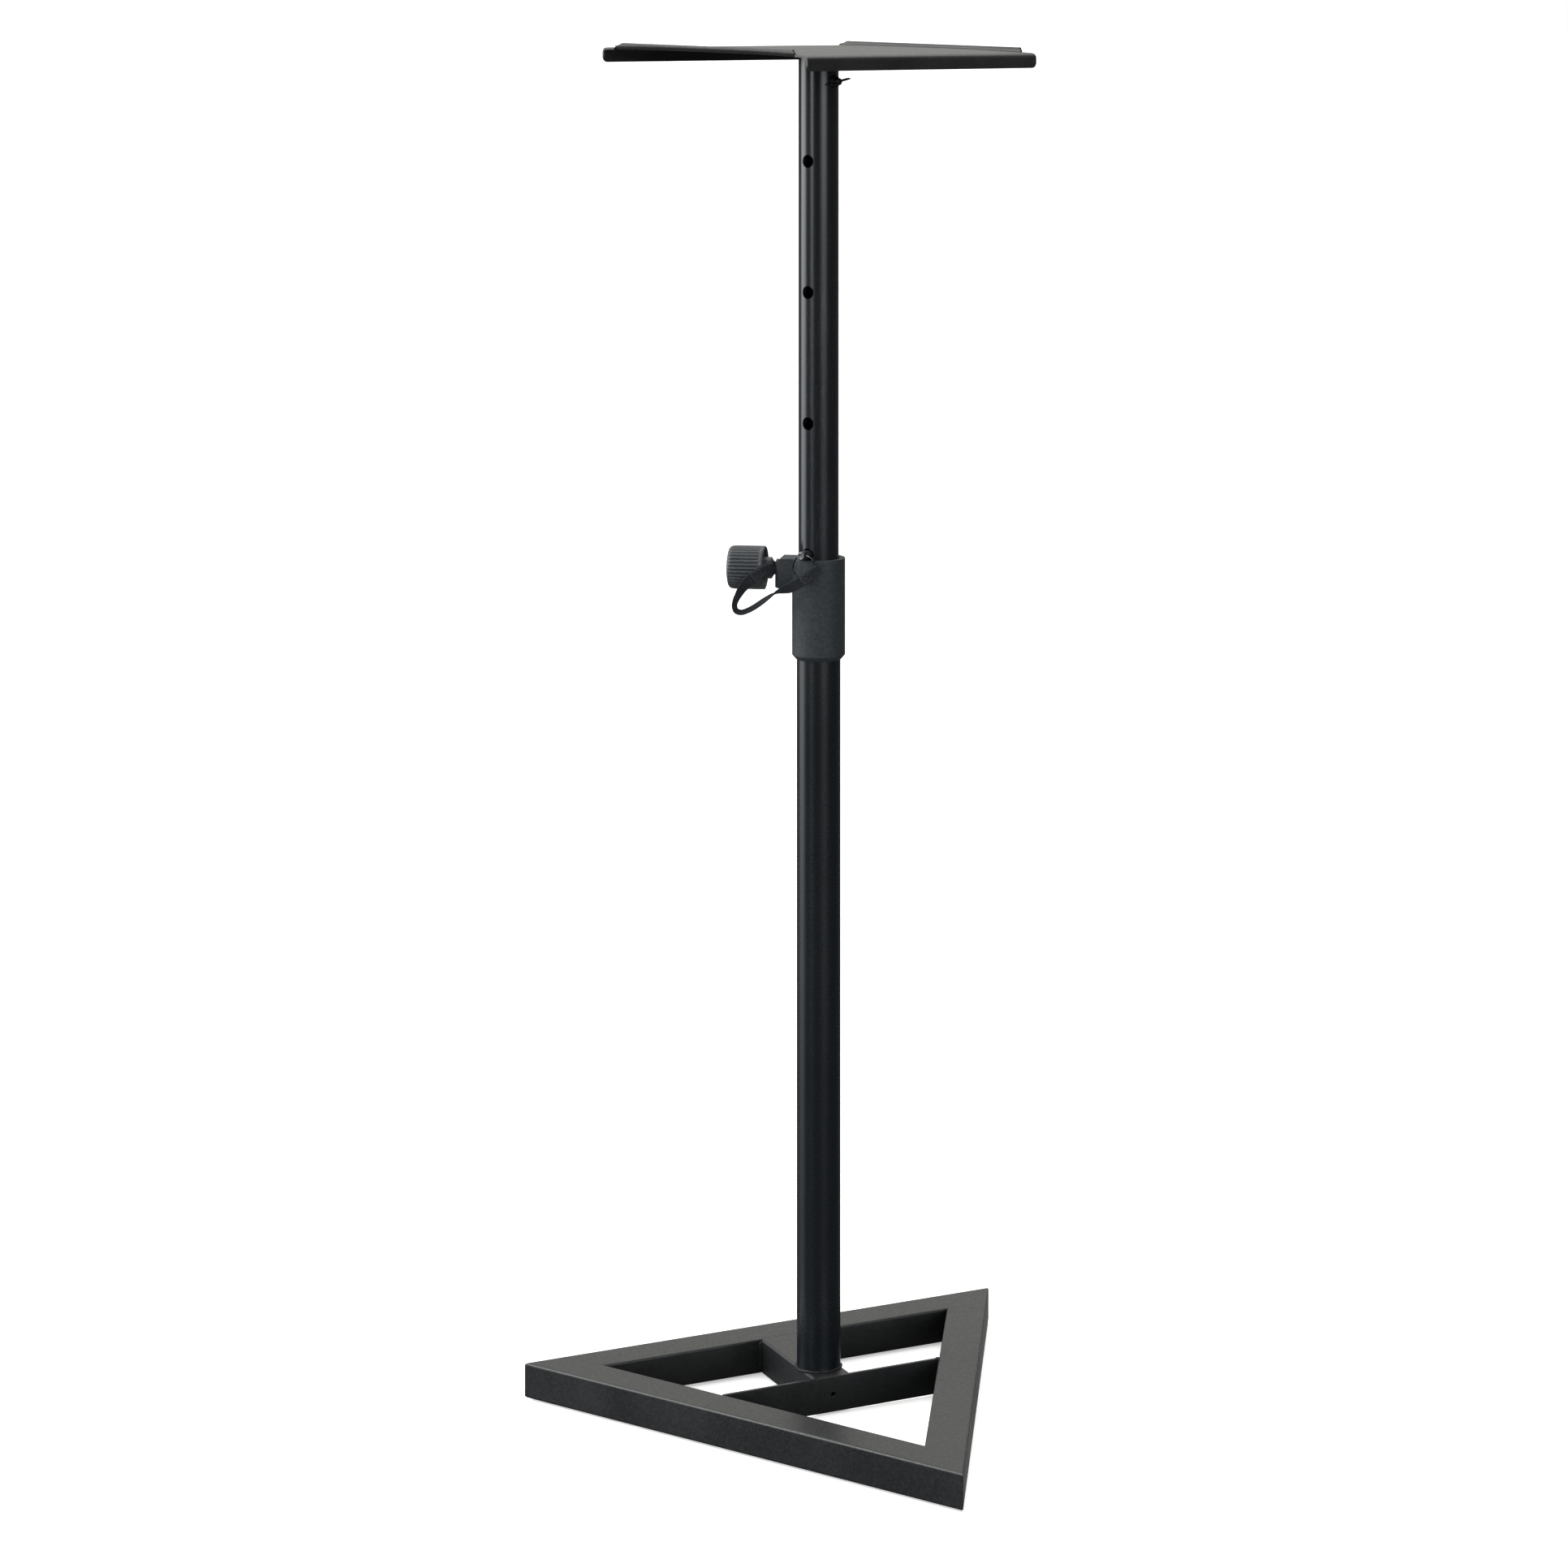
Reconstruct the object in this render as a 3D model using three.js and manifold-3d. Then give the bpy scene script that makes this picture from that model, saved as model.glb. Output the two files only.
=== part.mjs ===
// Height-adjustable loudspeaker stand: a welded triangular base of rectangular tube,
// a two-stage telescopic pole with clamp knob and captive locking pin, and a
// swivelling pressed-steel platform. Millimetres, +Z up, -Y front, +X right.
// Origin: on the floor, at the centre of the footprint box. The pole stands at
// x = 0, y = POLE_Y, and one corner of the base points along -Y.
import * as THREE from 'three';
import { mergeVertices } from 'three/addons/utils/BufferGeometryUtils.js';
import Module from 'manifold-3d';

// ---------------------------------------------------------------- main dimensions
// Heights are above the underside of the base frame; directions are degrees
// about the pole axis, anticlockwise from +X.
const POLE_Y = 54.29; // pole axis, behind the footprint centre
const PAD_T = 1.5; // rubber pads lift the frame off the floor
const BAR_H = 30.5; // height of the base tubes

const LOWER_TUBE_R = 19;
const LOWER_TUBE_BORE_R = 17.82;
const LOWER_TUBE_TOP = 706;
const UPPER_TUBE_R = 17.5;
const UPPER_TUBE_BORE_R = 15.95;
const UPPER_TUBE_BOTTOM = 375;
const UPPER_TUBE_TOP = 1168.5;

const COLLAR_TOP = 732.7;
const COLLAR_LIP_H = 3; // inward lip at the top of the collar
const BOSS_FACE = 36.9; // outer face of the clamp boss, from the pole axis
const CLAMP_Z = 722.8; // clamp screw axis
const CLAMP_DIR = 146.2;
const PIN_Z = 737; // locking pin axis
const PIN_DIR = 211.6; // the index holes face the same way
const WING_Z = 1146.5; // wing screw axis
const WING_DIR = -65.8;

// ---------------------------------------------------------------- materials
const material = (settings) => new THREE.MeshStandardMaterial(settings);
const paint = (settings) => material({ metalness: 0.35, ...settings });
const plastic = (settings) => material({ roughness: 0.6, metalness: 0, ...settings });
const bareMetal = (settings) => material({ metalness: 1, ...settings });

const FRAME_BLACK = 0x24272b;
const MATERIALS = {
  frame: paint({ color: FRAME_BLACK, roughness: 0.38 }),
  lowerTube: paint({ color: FRAME_BLACK, roughness: 0.3 }),
  upperTube: paint({ color: 0x2a2d31, roughness: 0.28 }),
  wingScrew: paint({ color: 0x1d1f22, roughness: 0.45 }),
  plate: paint({ color: 0x2b2b2b, roughness: 0.42 }),
  collar: plastic({ color: 0x4c5154 }),
  bush: plastic({ color: 0xb8b8b2, roughness: 0.5 }),
  clampPad: plastic({ color: 0x2a2c2e }),
  knob: plastic({ color: 0x45484b }),
  endPlug: plastic({ color: 0x1c1d1f }),
  rubber: plastic({ color: 0x15161a, roughness: 0.9 }),
  webbing: plastic({ color: 0x272b31, roughness: 0.95 }),
  insert: bareMetal({ color: 0x9a8a55, roughness: 0.35 }),
  clampScrew: bareMetal({ color: 0x6d6f72, roughness: 0.35 }),
  pin: bareMetal({ color: 0x8b8f94, roughness: 0.3 }),
  pinRing: bareMetal({ color: 0x9a9da0, roughness: 0.25 }),
};

// ---------------------------------------------------------------- helpers
const wasm = await Module();
wasm.setup();
const { Manifold, Mesh: RawMesh } = wasm;

const QUARTER = Math.PI / 2;
const radians = (degrees) => (degrees * Math.PI) / 180;
const move = (x, y, z) => new THREE.Matrix4().makeTranslation(x, y, z);
const turnX = (angle) => new THREE.Matrix4().makeRotationX(angle);
const turnY = (angle) => new THREE.Matrix4().makeRotationY(angle);
const turnZ = (angle) => new THREE.Matrix4().makeRotationZ(angle);

// Places a piece drawn along +X so that it points in a direction, at height z.
const facing = (direction, z) => move(0, 0, z).multiply(turnZ(radians(direction)));

// A closed three.js geometry as a solid that can be joined or cut.
function solid(geometry, matrix) {
  let welded = geometry.clone();
  welded.deleteAttribute('normal');
  welded.deleteAttribute('uv');
  welded = mergeVertices(welded, 1e-4);
  if (matrix) welded.applyMatrix4(matrix);
  const corners = welded.index.array;
  const triangles = [];
  for (let i = 0; i < corners.length; i += 3) {
    const [a, b, c] = [corners[i], corners[i + 1], corners[i + 2]];
    // welding collapses triangles at the poles of turned pieces
    if (a !== b && b !== c && a !== c) triangles.push(a, b, c);
  }
  return new Manifold(new RawMesh({
    numProp: 3,
    vertProperties: new Float32Array(welded.attributes.position.array),
    triVerts: new Uint32Array(triangles),
  }));
}

function geometryOf(body) {
  const mesh = body.getMesh();
  const geometry = new THREE.BufferGeometry();
  const positions = new Float32Array(mesh.vertProperties);
  geometry.setAttribute('position', new THREE.BufferAttribute(positions, 3));
  geometry.setIndex(Array.from(mesh.triVerts));
  geometry.computeVertexNormals();
  return geometry;
}

// A turned piece about Z. Profile points are [radius, height], anticlockwise.
function turned(profile, segments) {
  const points = profile.map(([radius, z]) => new THREE.Vector2(radius, z));
  return new THREE.LatheGeometry(points, segments).applyMatrix4(turnX(QUARTER));
}

const ring = (outerR, innerR, z0, z1, segments) => turned(
  [[innerR, z0], [outerR, z0], [outerR, z1], [innerR, z1], [innerR, z0]],
  segments,
);

const rod = (radius, z0, z1, segments) => turned(
  [[0, z0], [radius, z0], [radius, z1], [0, z1]],
  segments,
);

// Lays a piece drawn along +Z along +X.
const alongX = (geometry) => geometry.applyMatrix4(turnY(QUARTER));

// An [x, y] outline, with an optional hole, extruded from z0 to z1.
function prism(outline, z0, z1, hole) {
  const vectors = (points) => points.map(([x, y]) => new THREE.Vector2(x, y));
  const shape = new THREE.Shape(vectors(outline));
  if (hole) shape.holes.push(new THREE.Path(vectors(hole)));
  const settings = { depth: z1 - z0, bevelEnabled: false, steps: 1 };
  return new THREE.ExtrudeGeometry(shape, settings).translate(0, 0, z0);
}

// A [y, z] section extruded from x0 to x1.
function sectionAlongX(section, x0, x1, hole) {
  const cycleAxes = new THREE.Matrix4().set(0, 0, 1, 0, 1, 0, 0, 0, 0, 1, 0, 0, 0, 0, 0, 1);
  return prism(section, x0, x1, hole).applyMatrix4(cycleAxes);
}

// Points of an anticlockwise quarter circle from a start angle in degrees.
function quarterArc(centreX, centreY, radius, start, steps) {
  return Array.from({ length: steps + 1 }, (_, i) => {
    const angle = radians(start + (90 * i) / steps);
    return [centreX + radius * Math.cos(angle), centreY + radius * Math.sin(angle)];
  });
}

// Rounded rectangle outline from (x0, y0) to (x1, y1).
const rounded = (x0, y0, x1, y1, radius) => [
  ...quarterArc(x1 - radius, y0 + radius, radius, -90, 3),
  ...quarterArc(x1 - radius, y1 - radius, radius, 0, 3),
  ...quarterArc(x0 + radius, y1 - radius, radius, 90, 3),
  ...quarterArc(x0 + radius, y0 + radius, radius, 180, 3),
];

function group(parent) {
  const made = new THREE.Group();
  parent.add(made);
  return made;
}

function part(name, geometry, finish, parent) {
  const mesh = new THREE.Mesh(geometry, finish);
  mesh.name = name;
  parent.add(mesh);
  return mesh;
}

// Turns an object's +X to a direction and raises it to height z.
function face(object, direction, z) {
  object.rotation.z = radians(direction);
  object.position.z = z;
  return object;
}

const stand = new THREE.Group();
const frame = group(stand); // everything, about the pole axis; z = 0 is the frame underside
frame.position.set(0, POLE_Y, PAD_T);

// ---------------------------------------------------------------- base
const BASE_SIDE = 455; // outer side of the equilateral triangle
const BASE_IN_R = BASE_SIDE / (2 * Math.sqrt(3)); // its inscribed circle
const BASE_CENTRE_Y = -13.5; // centroid, from the pole axis
const BAR_W = 35;
const BAR_WALL = 1.8;
const BAR_CORNER_R = 2.2;
const MITRE_GAP = 0.2; // taken off each outer end of a bar
const CROSS_Y = -27; // rear face of the cross bar
const CROSS_T = 3;
const CROSS_END_GAP = 0.25;
const CROSS_HOLE_R = 1.9;
const SPINE_GAP = 0.12; // clearance at each end of the spine
const PAD_REACH = 221; // pad centres, from the base centroid
const PAD_R = 13;

const base = group(frame);

// Base tube along X from x0 to x1, its side faces at y0 and y0 + BAR_W.
function baseTube(x0, x1, y0) {
  const y1 = y0 + BAR_W;
  const bore = [
    [y0 + BAR_WALL, BAR_WALL], [y0 + BAR_WALL, BAR_H - BAR_WALL],
    [y1 - BAR_WALL, BAR_H - BAR_WALL], [y1 - BAR_WALL, BAR_WALL],
  ];
  return sectionAlongX(rounded(y0, 0, y1, BAR_H, BAR_CORNER_R), x0, x1, bore);
}

// The rear bar, about the base centroid, ends mitred 30 degrees to its length.
function mitredBar() {
  const outerY = BASE_IN_R;
  const innerY = outerY - BAR_W;
  const outerX = BASE_SIDE / 2 - MITRE_GAP;
  const innerX = outerX - BAR_W * Math.sqrt(3);
  const overlength = BASE_SIDE / 2 + 10;
  const tube = solid(baseTube(-overlength, overlength, innerY));
  const plan = solid(prism([
    [-innerX, innerY - 1], [innerX, innerY - 1], [innerX, innerY], [outerX, outerY],
    [outerX, outerY + 1], [-outerX, outerY + 1], [-outerX, outerY], [-innerX, innerY],
  ], -1, BAR_H + 1));
  return geometryOf(tube.intersect(plan));
}

// A flat on edge between the side bars, with a small hole drilled through it.
function crossBar() {
  const innerApexY = BASE_CENTRE_Y - 2 * (BASE_IN_R - BAR_W);
  const halfLength = (y) => (y - innerApexY) / Math.sqrt(3) - CROSS_END_GAP;
  const frontY = CROSS_Y - CROSS_T;
  const front = halfLength(frontY);
  const rear = halfLength(CROSS_Y);
  const outline = [[-front, frontY], [front, frontY], [rear, CROSS_Y], [-rear, CROSS_Y]];
  const holePlace = move(0, CROSS_Y, BAR_H / 2).multiply(turnX(QUARTER));
  const hole = solid(rod(CROSS_HOLE_R, -10, 10, 20), holePlace);
  return geometryOf(solid(prism(outline, 0, BAR_H)).subtract(hole));
}

// The tube that carries the pole, from the cross bar back to the rear bar.
function spineTube() {
  const frontY = CROSS_Y + SPINE_GAP;
  const rearY = BASE_CENTRE_Y + BASE_IN_R - BAR_W - SPINE_GAP;
  return baseTube(frontY, rearY, -BAR_W / 2).applyMatrix4(turnZ(QUARTER));
}

const footPad = () => turned([
  [0, -PAD_T], [PAD_R - 0.6, -PAD_T], [PAD_R, -PAD_T + 0.4], [PAD_R, -0.05], [0, -0.05],
], 32);

for (const [name, turn] of [
  ['base_rear_bar', 0],
  ['base_front_left_bar', 120],
  ['base_front_right_bar', -120],
]) {
  const side = group(base);
  side.position.y = BASE_CENTRE_Y;
  side.rotation.z = radians(turn);
  part(name, mitredBar(), MATERIALS.frame, side);
}
part('base_cross_bar', crossBar(), MATERIALS.frame, base);
part('base_spine_tube', spineTube(), MATERIALS.frame, base);

for (const [name, direction] of [
  ['foot_pad_front', -90],
  ['foot_pad_rear_right', 30],
  ['foot_pad_rear_left', 150],
]) {
  const angle = radians(direction);
  const x = PAD_REACH * Math.cos(angle);
  const y = BASE_CENTRE_Y + PAD_REACH * Math.sin(angle);
  part(name, footPad(), MATERIALS.rubber, base).position.set(x, y, 0);
}

// ---------------------------------------------------------------- lower tube and collar
const COLLAR_R = 23.1;
const COLLAR_BORE_R = 19.25;
const COLLAR_LIP_R = 18.1;
const COLLAR_BOTTOM = 645;
const COLLAR_EDGE = 0.8; // chamfer round the top
const BOSS_BOTTOM = 703;
const BOSS_W = 25;
const BOSS_CHAMFER = 4.6; // 45 degrees, top outer edge
const BOSS_CORNER_R = 4.5;
const BOSS_ROOT_R = 20.5; // the boss starts inside the collar wall
const POCKET_R = 8.3; // recess for the threaded insert
const POCKET_FLOOR = 27.5; // from the pole axis
const SCREW_BORE_R = 5.4;
const BUSH_GAP = 0.3; // clearance above and below the guide bush

const clampPlace = facing(CLAMP_DIR, CLAMP_Z);

function collarShell() {
  const lipBottom = COLLAR_TOP - COLLAR_LIP_H;
  return solid(turned([
    [COLLAR_BORE_R, COLLAR_BOTTOM], [19.6, COLLAR_BOTTOM], [COLLAR_R, COLLAR_BOTTOM + 5],
    [COLLAR_R, COLLAR_TOP - COLLAR_EDGE], [COLLAR_R - COLLAR_EDGE, COLLAR_TOP],
    [COLLAR_LIP_R, COLLAR_TOP], [COLLAR_LIP_R, lipBottom],
    [COLLAR_BORE_R, lipBottom], [COLLAR_BORE_R, COLLAR_BOTTOM],
  ], 40));
}

// Block on the side of the collar that takes the clamp screw.
function clampBoss() {
  const halfW = BOSS_W / 2;
  const side = prism([ // [distance from the pole axis, height]
    [0, BOSS_BOTTOM], [BOSS_FACE, BOSS_BOTTOM], [BOSS_FACE, COLLAR_TOP - BOSS_CHAMFER],
    [BOSS_FACE - BOSS_CHAMFER, COLLAR_TOP], [0, COLLAR_TOP],
  ], -halfW, halfW).applyMatrix4(turnX(QUARTER));
  const z0 = BOSS_BOTTOM - 5;
  const z1 = COLLAR_TOP + 5;
  const plan = prism(rounded(-30, -halfW, BOSS_FACE, halfW, BOSS_CORNER_R), z0, z1);
  const core = solid(rod(BOSS_ROOT_R, z0, z1, 40));
  const boss = solid(side).intersect(solid(plan)).subtract(core);
  return boss.transform(Array.from(turnZ(radians(CLAMP_DIR)).elements));
}

function collar() {
  const bore = solid(alongX(rod(SCREW_BORE_R, 15, 60, 28)), clampPlace);
  const pocket = solid(alongX(rod(POCKET_R, POCKET_FLOOR, 60, 32)), clampPlace);
  return geometryOf(clampBoss().add(collarShell()).subtract(bore).subtract(pocket));
}

// Bush inside the top of the collar, holed for the clamp pad.
function guideBush() {
  const bottom = LOWER_TUBE_TOP + BUSH_GAP;
  const top = COLLAR_TOP - COLLAR_LIP_H - BUSH_GAP;
  const hole = solid(alongX(rod(5.8, 10, 40, 28)), clampPlace);
  return geometryOf(solid(ring(19.05, 17.8, bottom, top, 36)).subtract(hole));
}

const threadInsert = () => alongX(ring(8, 5.3, POCKET_FLOOR + 0.3, BOSS_FACE, 24));

const lowerTube = ring(LOWER_TUBE_R, LOWER_TUBE_BORE_R, BAR_H + 0.1, LOWER_TUBE_TOP, 40);
part('lower_tube', lowerTube, MATERIALS.lowerTube, frame);
part('collar', collar(), MATERIALS.collar, frame);
part('collar_guide_bush', guideBush(), MATERIALS.bush, frame);
const insert = part('clamp_thread_insert', threadInsert(), MATERIALS.insert, frame);
face(insert, CLAMP_DIR, CLAMP_Z);

// ---------------------------------------------------------------- clamp knob
// Profiles here are [radius, distance from the pole axis].
const KNOB_R = 18.85;
const KNOB_INNER_END = 46.8;
const KNOB_OUTER_END = 79.6;
const KNOB_RIBS = 36;
const KNOB_RIB_DEPTH = 0.75;
const KNOB_NECK = [[5.2, 38.9], [5.6, 38.9], [9.4, 41.4], [9.4, 52]];
const KNOB_SCREW_SOCKET = [[0, 58.4], [5.2, 58.4], [5.2, 38.9]];

const clampPad = () => alongX(turned([
  [0, 17.72], [4.2, 17.72], [5, 18.4], [5, 21.2], [0, 21.2],
], 24));

const clampScrew = () => alongX(turned([
  [0, 21.35], [4.2, 21.35], [4.95, 22.2], [4.95, 58], [0, 58],
], 24));

// Ribbed barrel with its ends trimmed by a turned envelope, joined to a hub.
function clampKnob() {
  const outline = [];
  for (let i = 0; i < KNOB_RIBS * 2; i++) {
    const angle = (i / (KNOB_RIBS * 2)) * 2 * Math.PI;
    const radius = i % 2 ? KNOB_R : KNOB_R - KNOB_RIB_DEPTH;
    outline.push([radius * Math.cos(angle), radius * Math.sin(angle)]);
  }
  const barrel = solid(alongX(prism(outline, KNOB_INNER_END - 1, KNOB_OUTER_END + 1)));
  const envelope = solid(alongX(turned([
    ...KNOB_NECK, [16.4, 52], [16.8, KNOB_INNER_END], [KNOB_R, KNOB_INNER_END],
    [KNOB_R + 0.1, KNOB_INNER_END + 1.4], [KNOB_R + 0.1, KNOB_OUTER_END - 4.6],
    [KNOB_R - 1.2, KNOB_OUTER_END - 2], [KNOB_R - 3.2, KNOB_OUTER_END - 1.1],
    [0, KNOB_OUTER_END], ...KNOB_SCREW_SOCKET,
  ], 36)));
  const hub = solid(alongX(turned([
    ...KNOB_NECK, [12, 52.5], [12, 60], [0, 60], ...KNOB_SCREW_SOCKET,
  ], 36)));
  return geometryOf(barrel.intersect(envelope).add(hub));
}

const clampGroup = face(group(frame), CLAMP_DIR, CLAMP_Z);
part('clamp_pad', clampPad(), MATERIALS.clampPad, clampGroup);
part('clamp_screw', clampScrew(), MATERIALS.clampScrew, clampGroup);
part('clamp_knob', clampKnob(), MATERIALS.knob, clampGroup);

// ---------------------------------------------------------------- upper tube
const INDEX_PITCH = 113.5; // spacing of the index holes
const INDEX_EACH_WAY = 3; // index holes above the pin, and as many below it
const INDEX_HOLE_R = 5.6;
const WING_HOLE_R = 3.3;

function upperTube() {
  const blank = ring(UPPER_TUBE_R, UPPER_TUBE_BORE_R, UPPER_TUBE_BOTTOM, UPPER_TUBE_TOP, 36);
  let tube = solid(blank);
  for (let i = -INDEX_EACH_WAY; i <= INDEX_EACH_WAY; i++) {
    const hole = alongX(rod(INDEX_HOLE_R, -30, 30, 14)); // through both walls
    tube = tube.subtract(solid(hole, facing(PIN_DIR, PIN_Z + i * INDEX_PITCH)));
  }
  const wingHole = alongX(rod(WING_HOLE_R, 10, 30, 20));
  return geometryOf(tube.subtract(solid(wingHole, facing(WING_DIR, WING_Z))));
}

const endPlug = () => turned([
  [0, 372], [17.2, 372], [17.4, 372.4], [17.4, 374.85], [15.7, 374.85], [15.7, 384], [0, 384],
], 28);

part('upper_tube', upperTube(), MATERIALS.upperTube, frame);
part('upper_tube_end_plug', endPlug(), MATERIALS.endPlug, frame);

// ---------------------------------------------------------------- wing screw
const EAR_HALF_T = 1.1;
// One ear: [distance from the pole axis, distance from the screw axis].
const EAR_OUTLINE = [
  [24.2, 2.5], [28.2, 2.5], [31.6, 8], [32, 11.4], [30.6, 12.8], [28.4, 12.2], [25.6, 8],
];

const weldNut = () => alongX(ring(5.6, 3.25, 17.75, 22.3, 20));

// Turned shank and head with two ears in one plane through the screw axis.
function wingScrew() {
  let screw = solid(alongX(turned([ // [radius, distance from the pole axis]
    [0, 15.95], [2.4, 15.95], [2.95, 16.6], [2.95, 23],
    [4.6, 23.4], [4.6, 28.2], [3.6, 29.2], [0, 29.2],
  ], 20)));
  for (const side of [1, -1]) {
    const outline = EAR_OUTLINE.map(([x, y]) => [x, side * y]);
    screw = screw.add(solid(prism(outline, -EAR_HALF_T, EAR_HALF_T)));
  }
  return geometryOf(screw);
}

const wingGroup = face(group(frame), WING_DIR, WING_Z);
part('wing_screw_weld_nut', weldNut(), MATERIALS.frame, wingGroup);
part('wing_screw', wingScrew(), MATERIALS.wingScrew, wingGroup);

// ---------------------------------------------------------------- locking pin and ring
const CROSS_HOLE_AT = 25.8; // hole across the pin, from the pole axis
const CROSS_HOLE_Z = 0.6; // above the pin axis
const PIN_RING_R = 10.4;
const PIN_RING_WIRE_R = 0.65;

function lockingPin() {
  const body = solid(alongX(turned([ // [radius, distance from the pole axis]
    [0, -23], [2.6, -23], [4, -21.4], [4, 27.6], [3.2, 28.6], [0, 28.6],
  ], 24)));
  const holePlace = move(CROSS_HOLE_AT, 0, CROSS_HOLE_Z).multiply(turnX(QUARTER));
  return geometryOf(body.subtract(solid(rod(1.5, -8, 8, 16), holePlace)));
}

const pinRing = () => new THREE.TorusGeometry(PIN_RING_R, PIN_RING_WIRE_R, 8, 26)
  .applyMatrix4(turnZ(QUARTER).multiply(turnX(QUARTER)));

const pinGroup = face(group(frame), PIN_DIR, PIN_Z);
part('locking_pin', lockingPin(), MATERIALS.pin, pinGroup);
// the ring hangs from the cross hole, outside the collar
part('pin_ring', pinRing(), MATERIALS.pinRing, pinGroup)
  .position.set(CROSS_HOLE_AT, 0, CROSS_HOLE_Z - PIN_RING_R);

// ---------------------------------------------------------------- strap
// Webbing band hanging in a loop from the pin ring to an eye round the knob neck.
const STRAP_W = 9.5;
const STRAP_T = 1.2;
const STRAP_STEPS = 30;
// Centreline, [x, y, z] about the pole axis.
const STRAP_PATH = [
  [-14.2, -24.6, 726.2], [-19.3, -22.2, 720.4], [-25.4, -16.6, 715.3], [-32.3, -9.4, 710.6],
  [-38.6, -2.9, 706.2], [-43.3, 2.6, 702.4], [-49.0, 7.7, 697.2], [-55.6, 12.5, 691.6],
  [-60.8, 15.9, 688.3], [-65.6, 18.9, 686.7], [-69.6, 20.9, 688.5], [-70.6, 21.0, 692.8],
  [-69.9, 19.8, 697.1], [-68.6, 17.8, 701.4], [-66.2, 15.2, 706.5], [-60.4, 11.0, 713.3],
  [-54.6, 8.0, 718.0], [-48.4, 7.0, 720.9], [-44.0, 9.6, 721.9], [-40.7, 14.7, 722.2],
];
// Direction of the band's width: [fraction of the length, [x, y, z]].
const STRAP_WIDTHS = [
  [0, [-0.2, 0.25, -0.9]], [0.14, [0.15, 0.25, -0.95]], [0.3, [-0.3, -0.75, -0.6]],
  [0.45, [-0.436, -0.9, 0]], [0.62, [-0.436, -0.9, 0]], [0.78, [-0.75, -0.55, 0.1]],
  [0.9, [-0.7, 0.35, 0.62]], [1, [-0.62, 0.42, 0.66]],
];

function strapWidthAt(along) {
  let i = 0;
  while (i < STRAP_WIDTHS.length - 2 && along > STRAP_WIDTHS[i + 1][0]) i++;
  const [start, from] = STRAP_WIDTHS[i];
  const [end, to] = STRAP_WIDTHS[i + 1];
  const blend = (along - start) / (end - start);
  return new THREE.Vector3(...from).lerp(new THREE.Vector3(...to), blend).normalize();
}

// A straight box, bent along the path.
function strapBand() {
  const path = STRAP_PATH.map((point) => new THREE.Vector3(...point));
  const curve = new THREE.CatmullRomCurve3(path, false, 'centripetal');
  const band = new THREE.BoxGeometry(STRAP_W, STRAP_T, 1, 1, 1, STRAP_STEPS);
  const positions = band.attributes.position;
  for (let i = 0; i < positions.count; i++) {
    const along = THREE.MathUtils.clamp(positions.getZ(i) + 0.5, 0, 1);
    const point = curve.getPointAt(along);
    const tangent = curve.getTangentAt(along);
    const across = strapWidthAt(along);
    across.addScaledVector(tangent, -across.dot(tangent)).normalize();
    const normal = new THREE.Vector3().crossVectors(tangent, across).normalize();
    point.addScaledVector(across, positions.getX(i));
    point.addScaledVector(normal, positions.getY(i));
    positions.setXYZ(i, point.x, point.y, point.z);
  }
  return solid(band);
}

const strapEye = () => solid(alongX(ring(11.2, 9.8, 38.2, 45.9, 28)), clampPlace);

part('strap', geometryOf(strapBand().add(strapEye())), MATERIALS.webbing, frame);

// ---------------------------------------------------------------- platform
const PLATE_HALF_L = 131.5; // along the flanges
const PLATE_HALF_W = 136; // over the flanges
const PLATE_T = 2;
const PLATE_EDGE_Z = 1173.3; // top of the sheet at the flanges
const PLATE_CROWN = 1.6; // the sheet is bowed up between the flanges
const PLATE_FLAT = 45; // half width of the flat middle
const PLATE_DIR = 16.3; // the flanges run this way
const PLATE_STEP = 16; // spacing of the points across the bow
const BEND_R = 4.5; // outside radius of the flange bends
const FLANGE_BOTTOM = PLATE_EDGE_Z - 12.8;
const FLANGE_CORNER_R = 5;
const LIP_H = 4.6;
const LIP_INSET = 20; // lip ends, in from the flanges
const LIP_SINK = 1.5; // lip root below the top of the sheet

function sheetTop(y) {
  const slope = Math.max(0, (Math.abs(y) - PLATE_FLAT) / (PLATE_HALF_W - PLATE_FLAT));
  return PLATE_EDGE_Z + PLATE_CROWN * (1 - slope * slope);
}

// Points across the sheet between the bends, from -Y to +Y.
function sheetStations() {
  const left = [];
  for (let y = -(PLATE_HALF_W - BEND_R - 8); y < -PLATE_FLAT; y += PLATE_STEP) left.push(y);
  return [...left, -PLATE_FLAT, PLATE_FLAT, ...left.map((y) => -y).reverse()];
}

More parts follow.
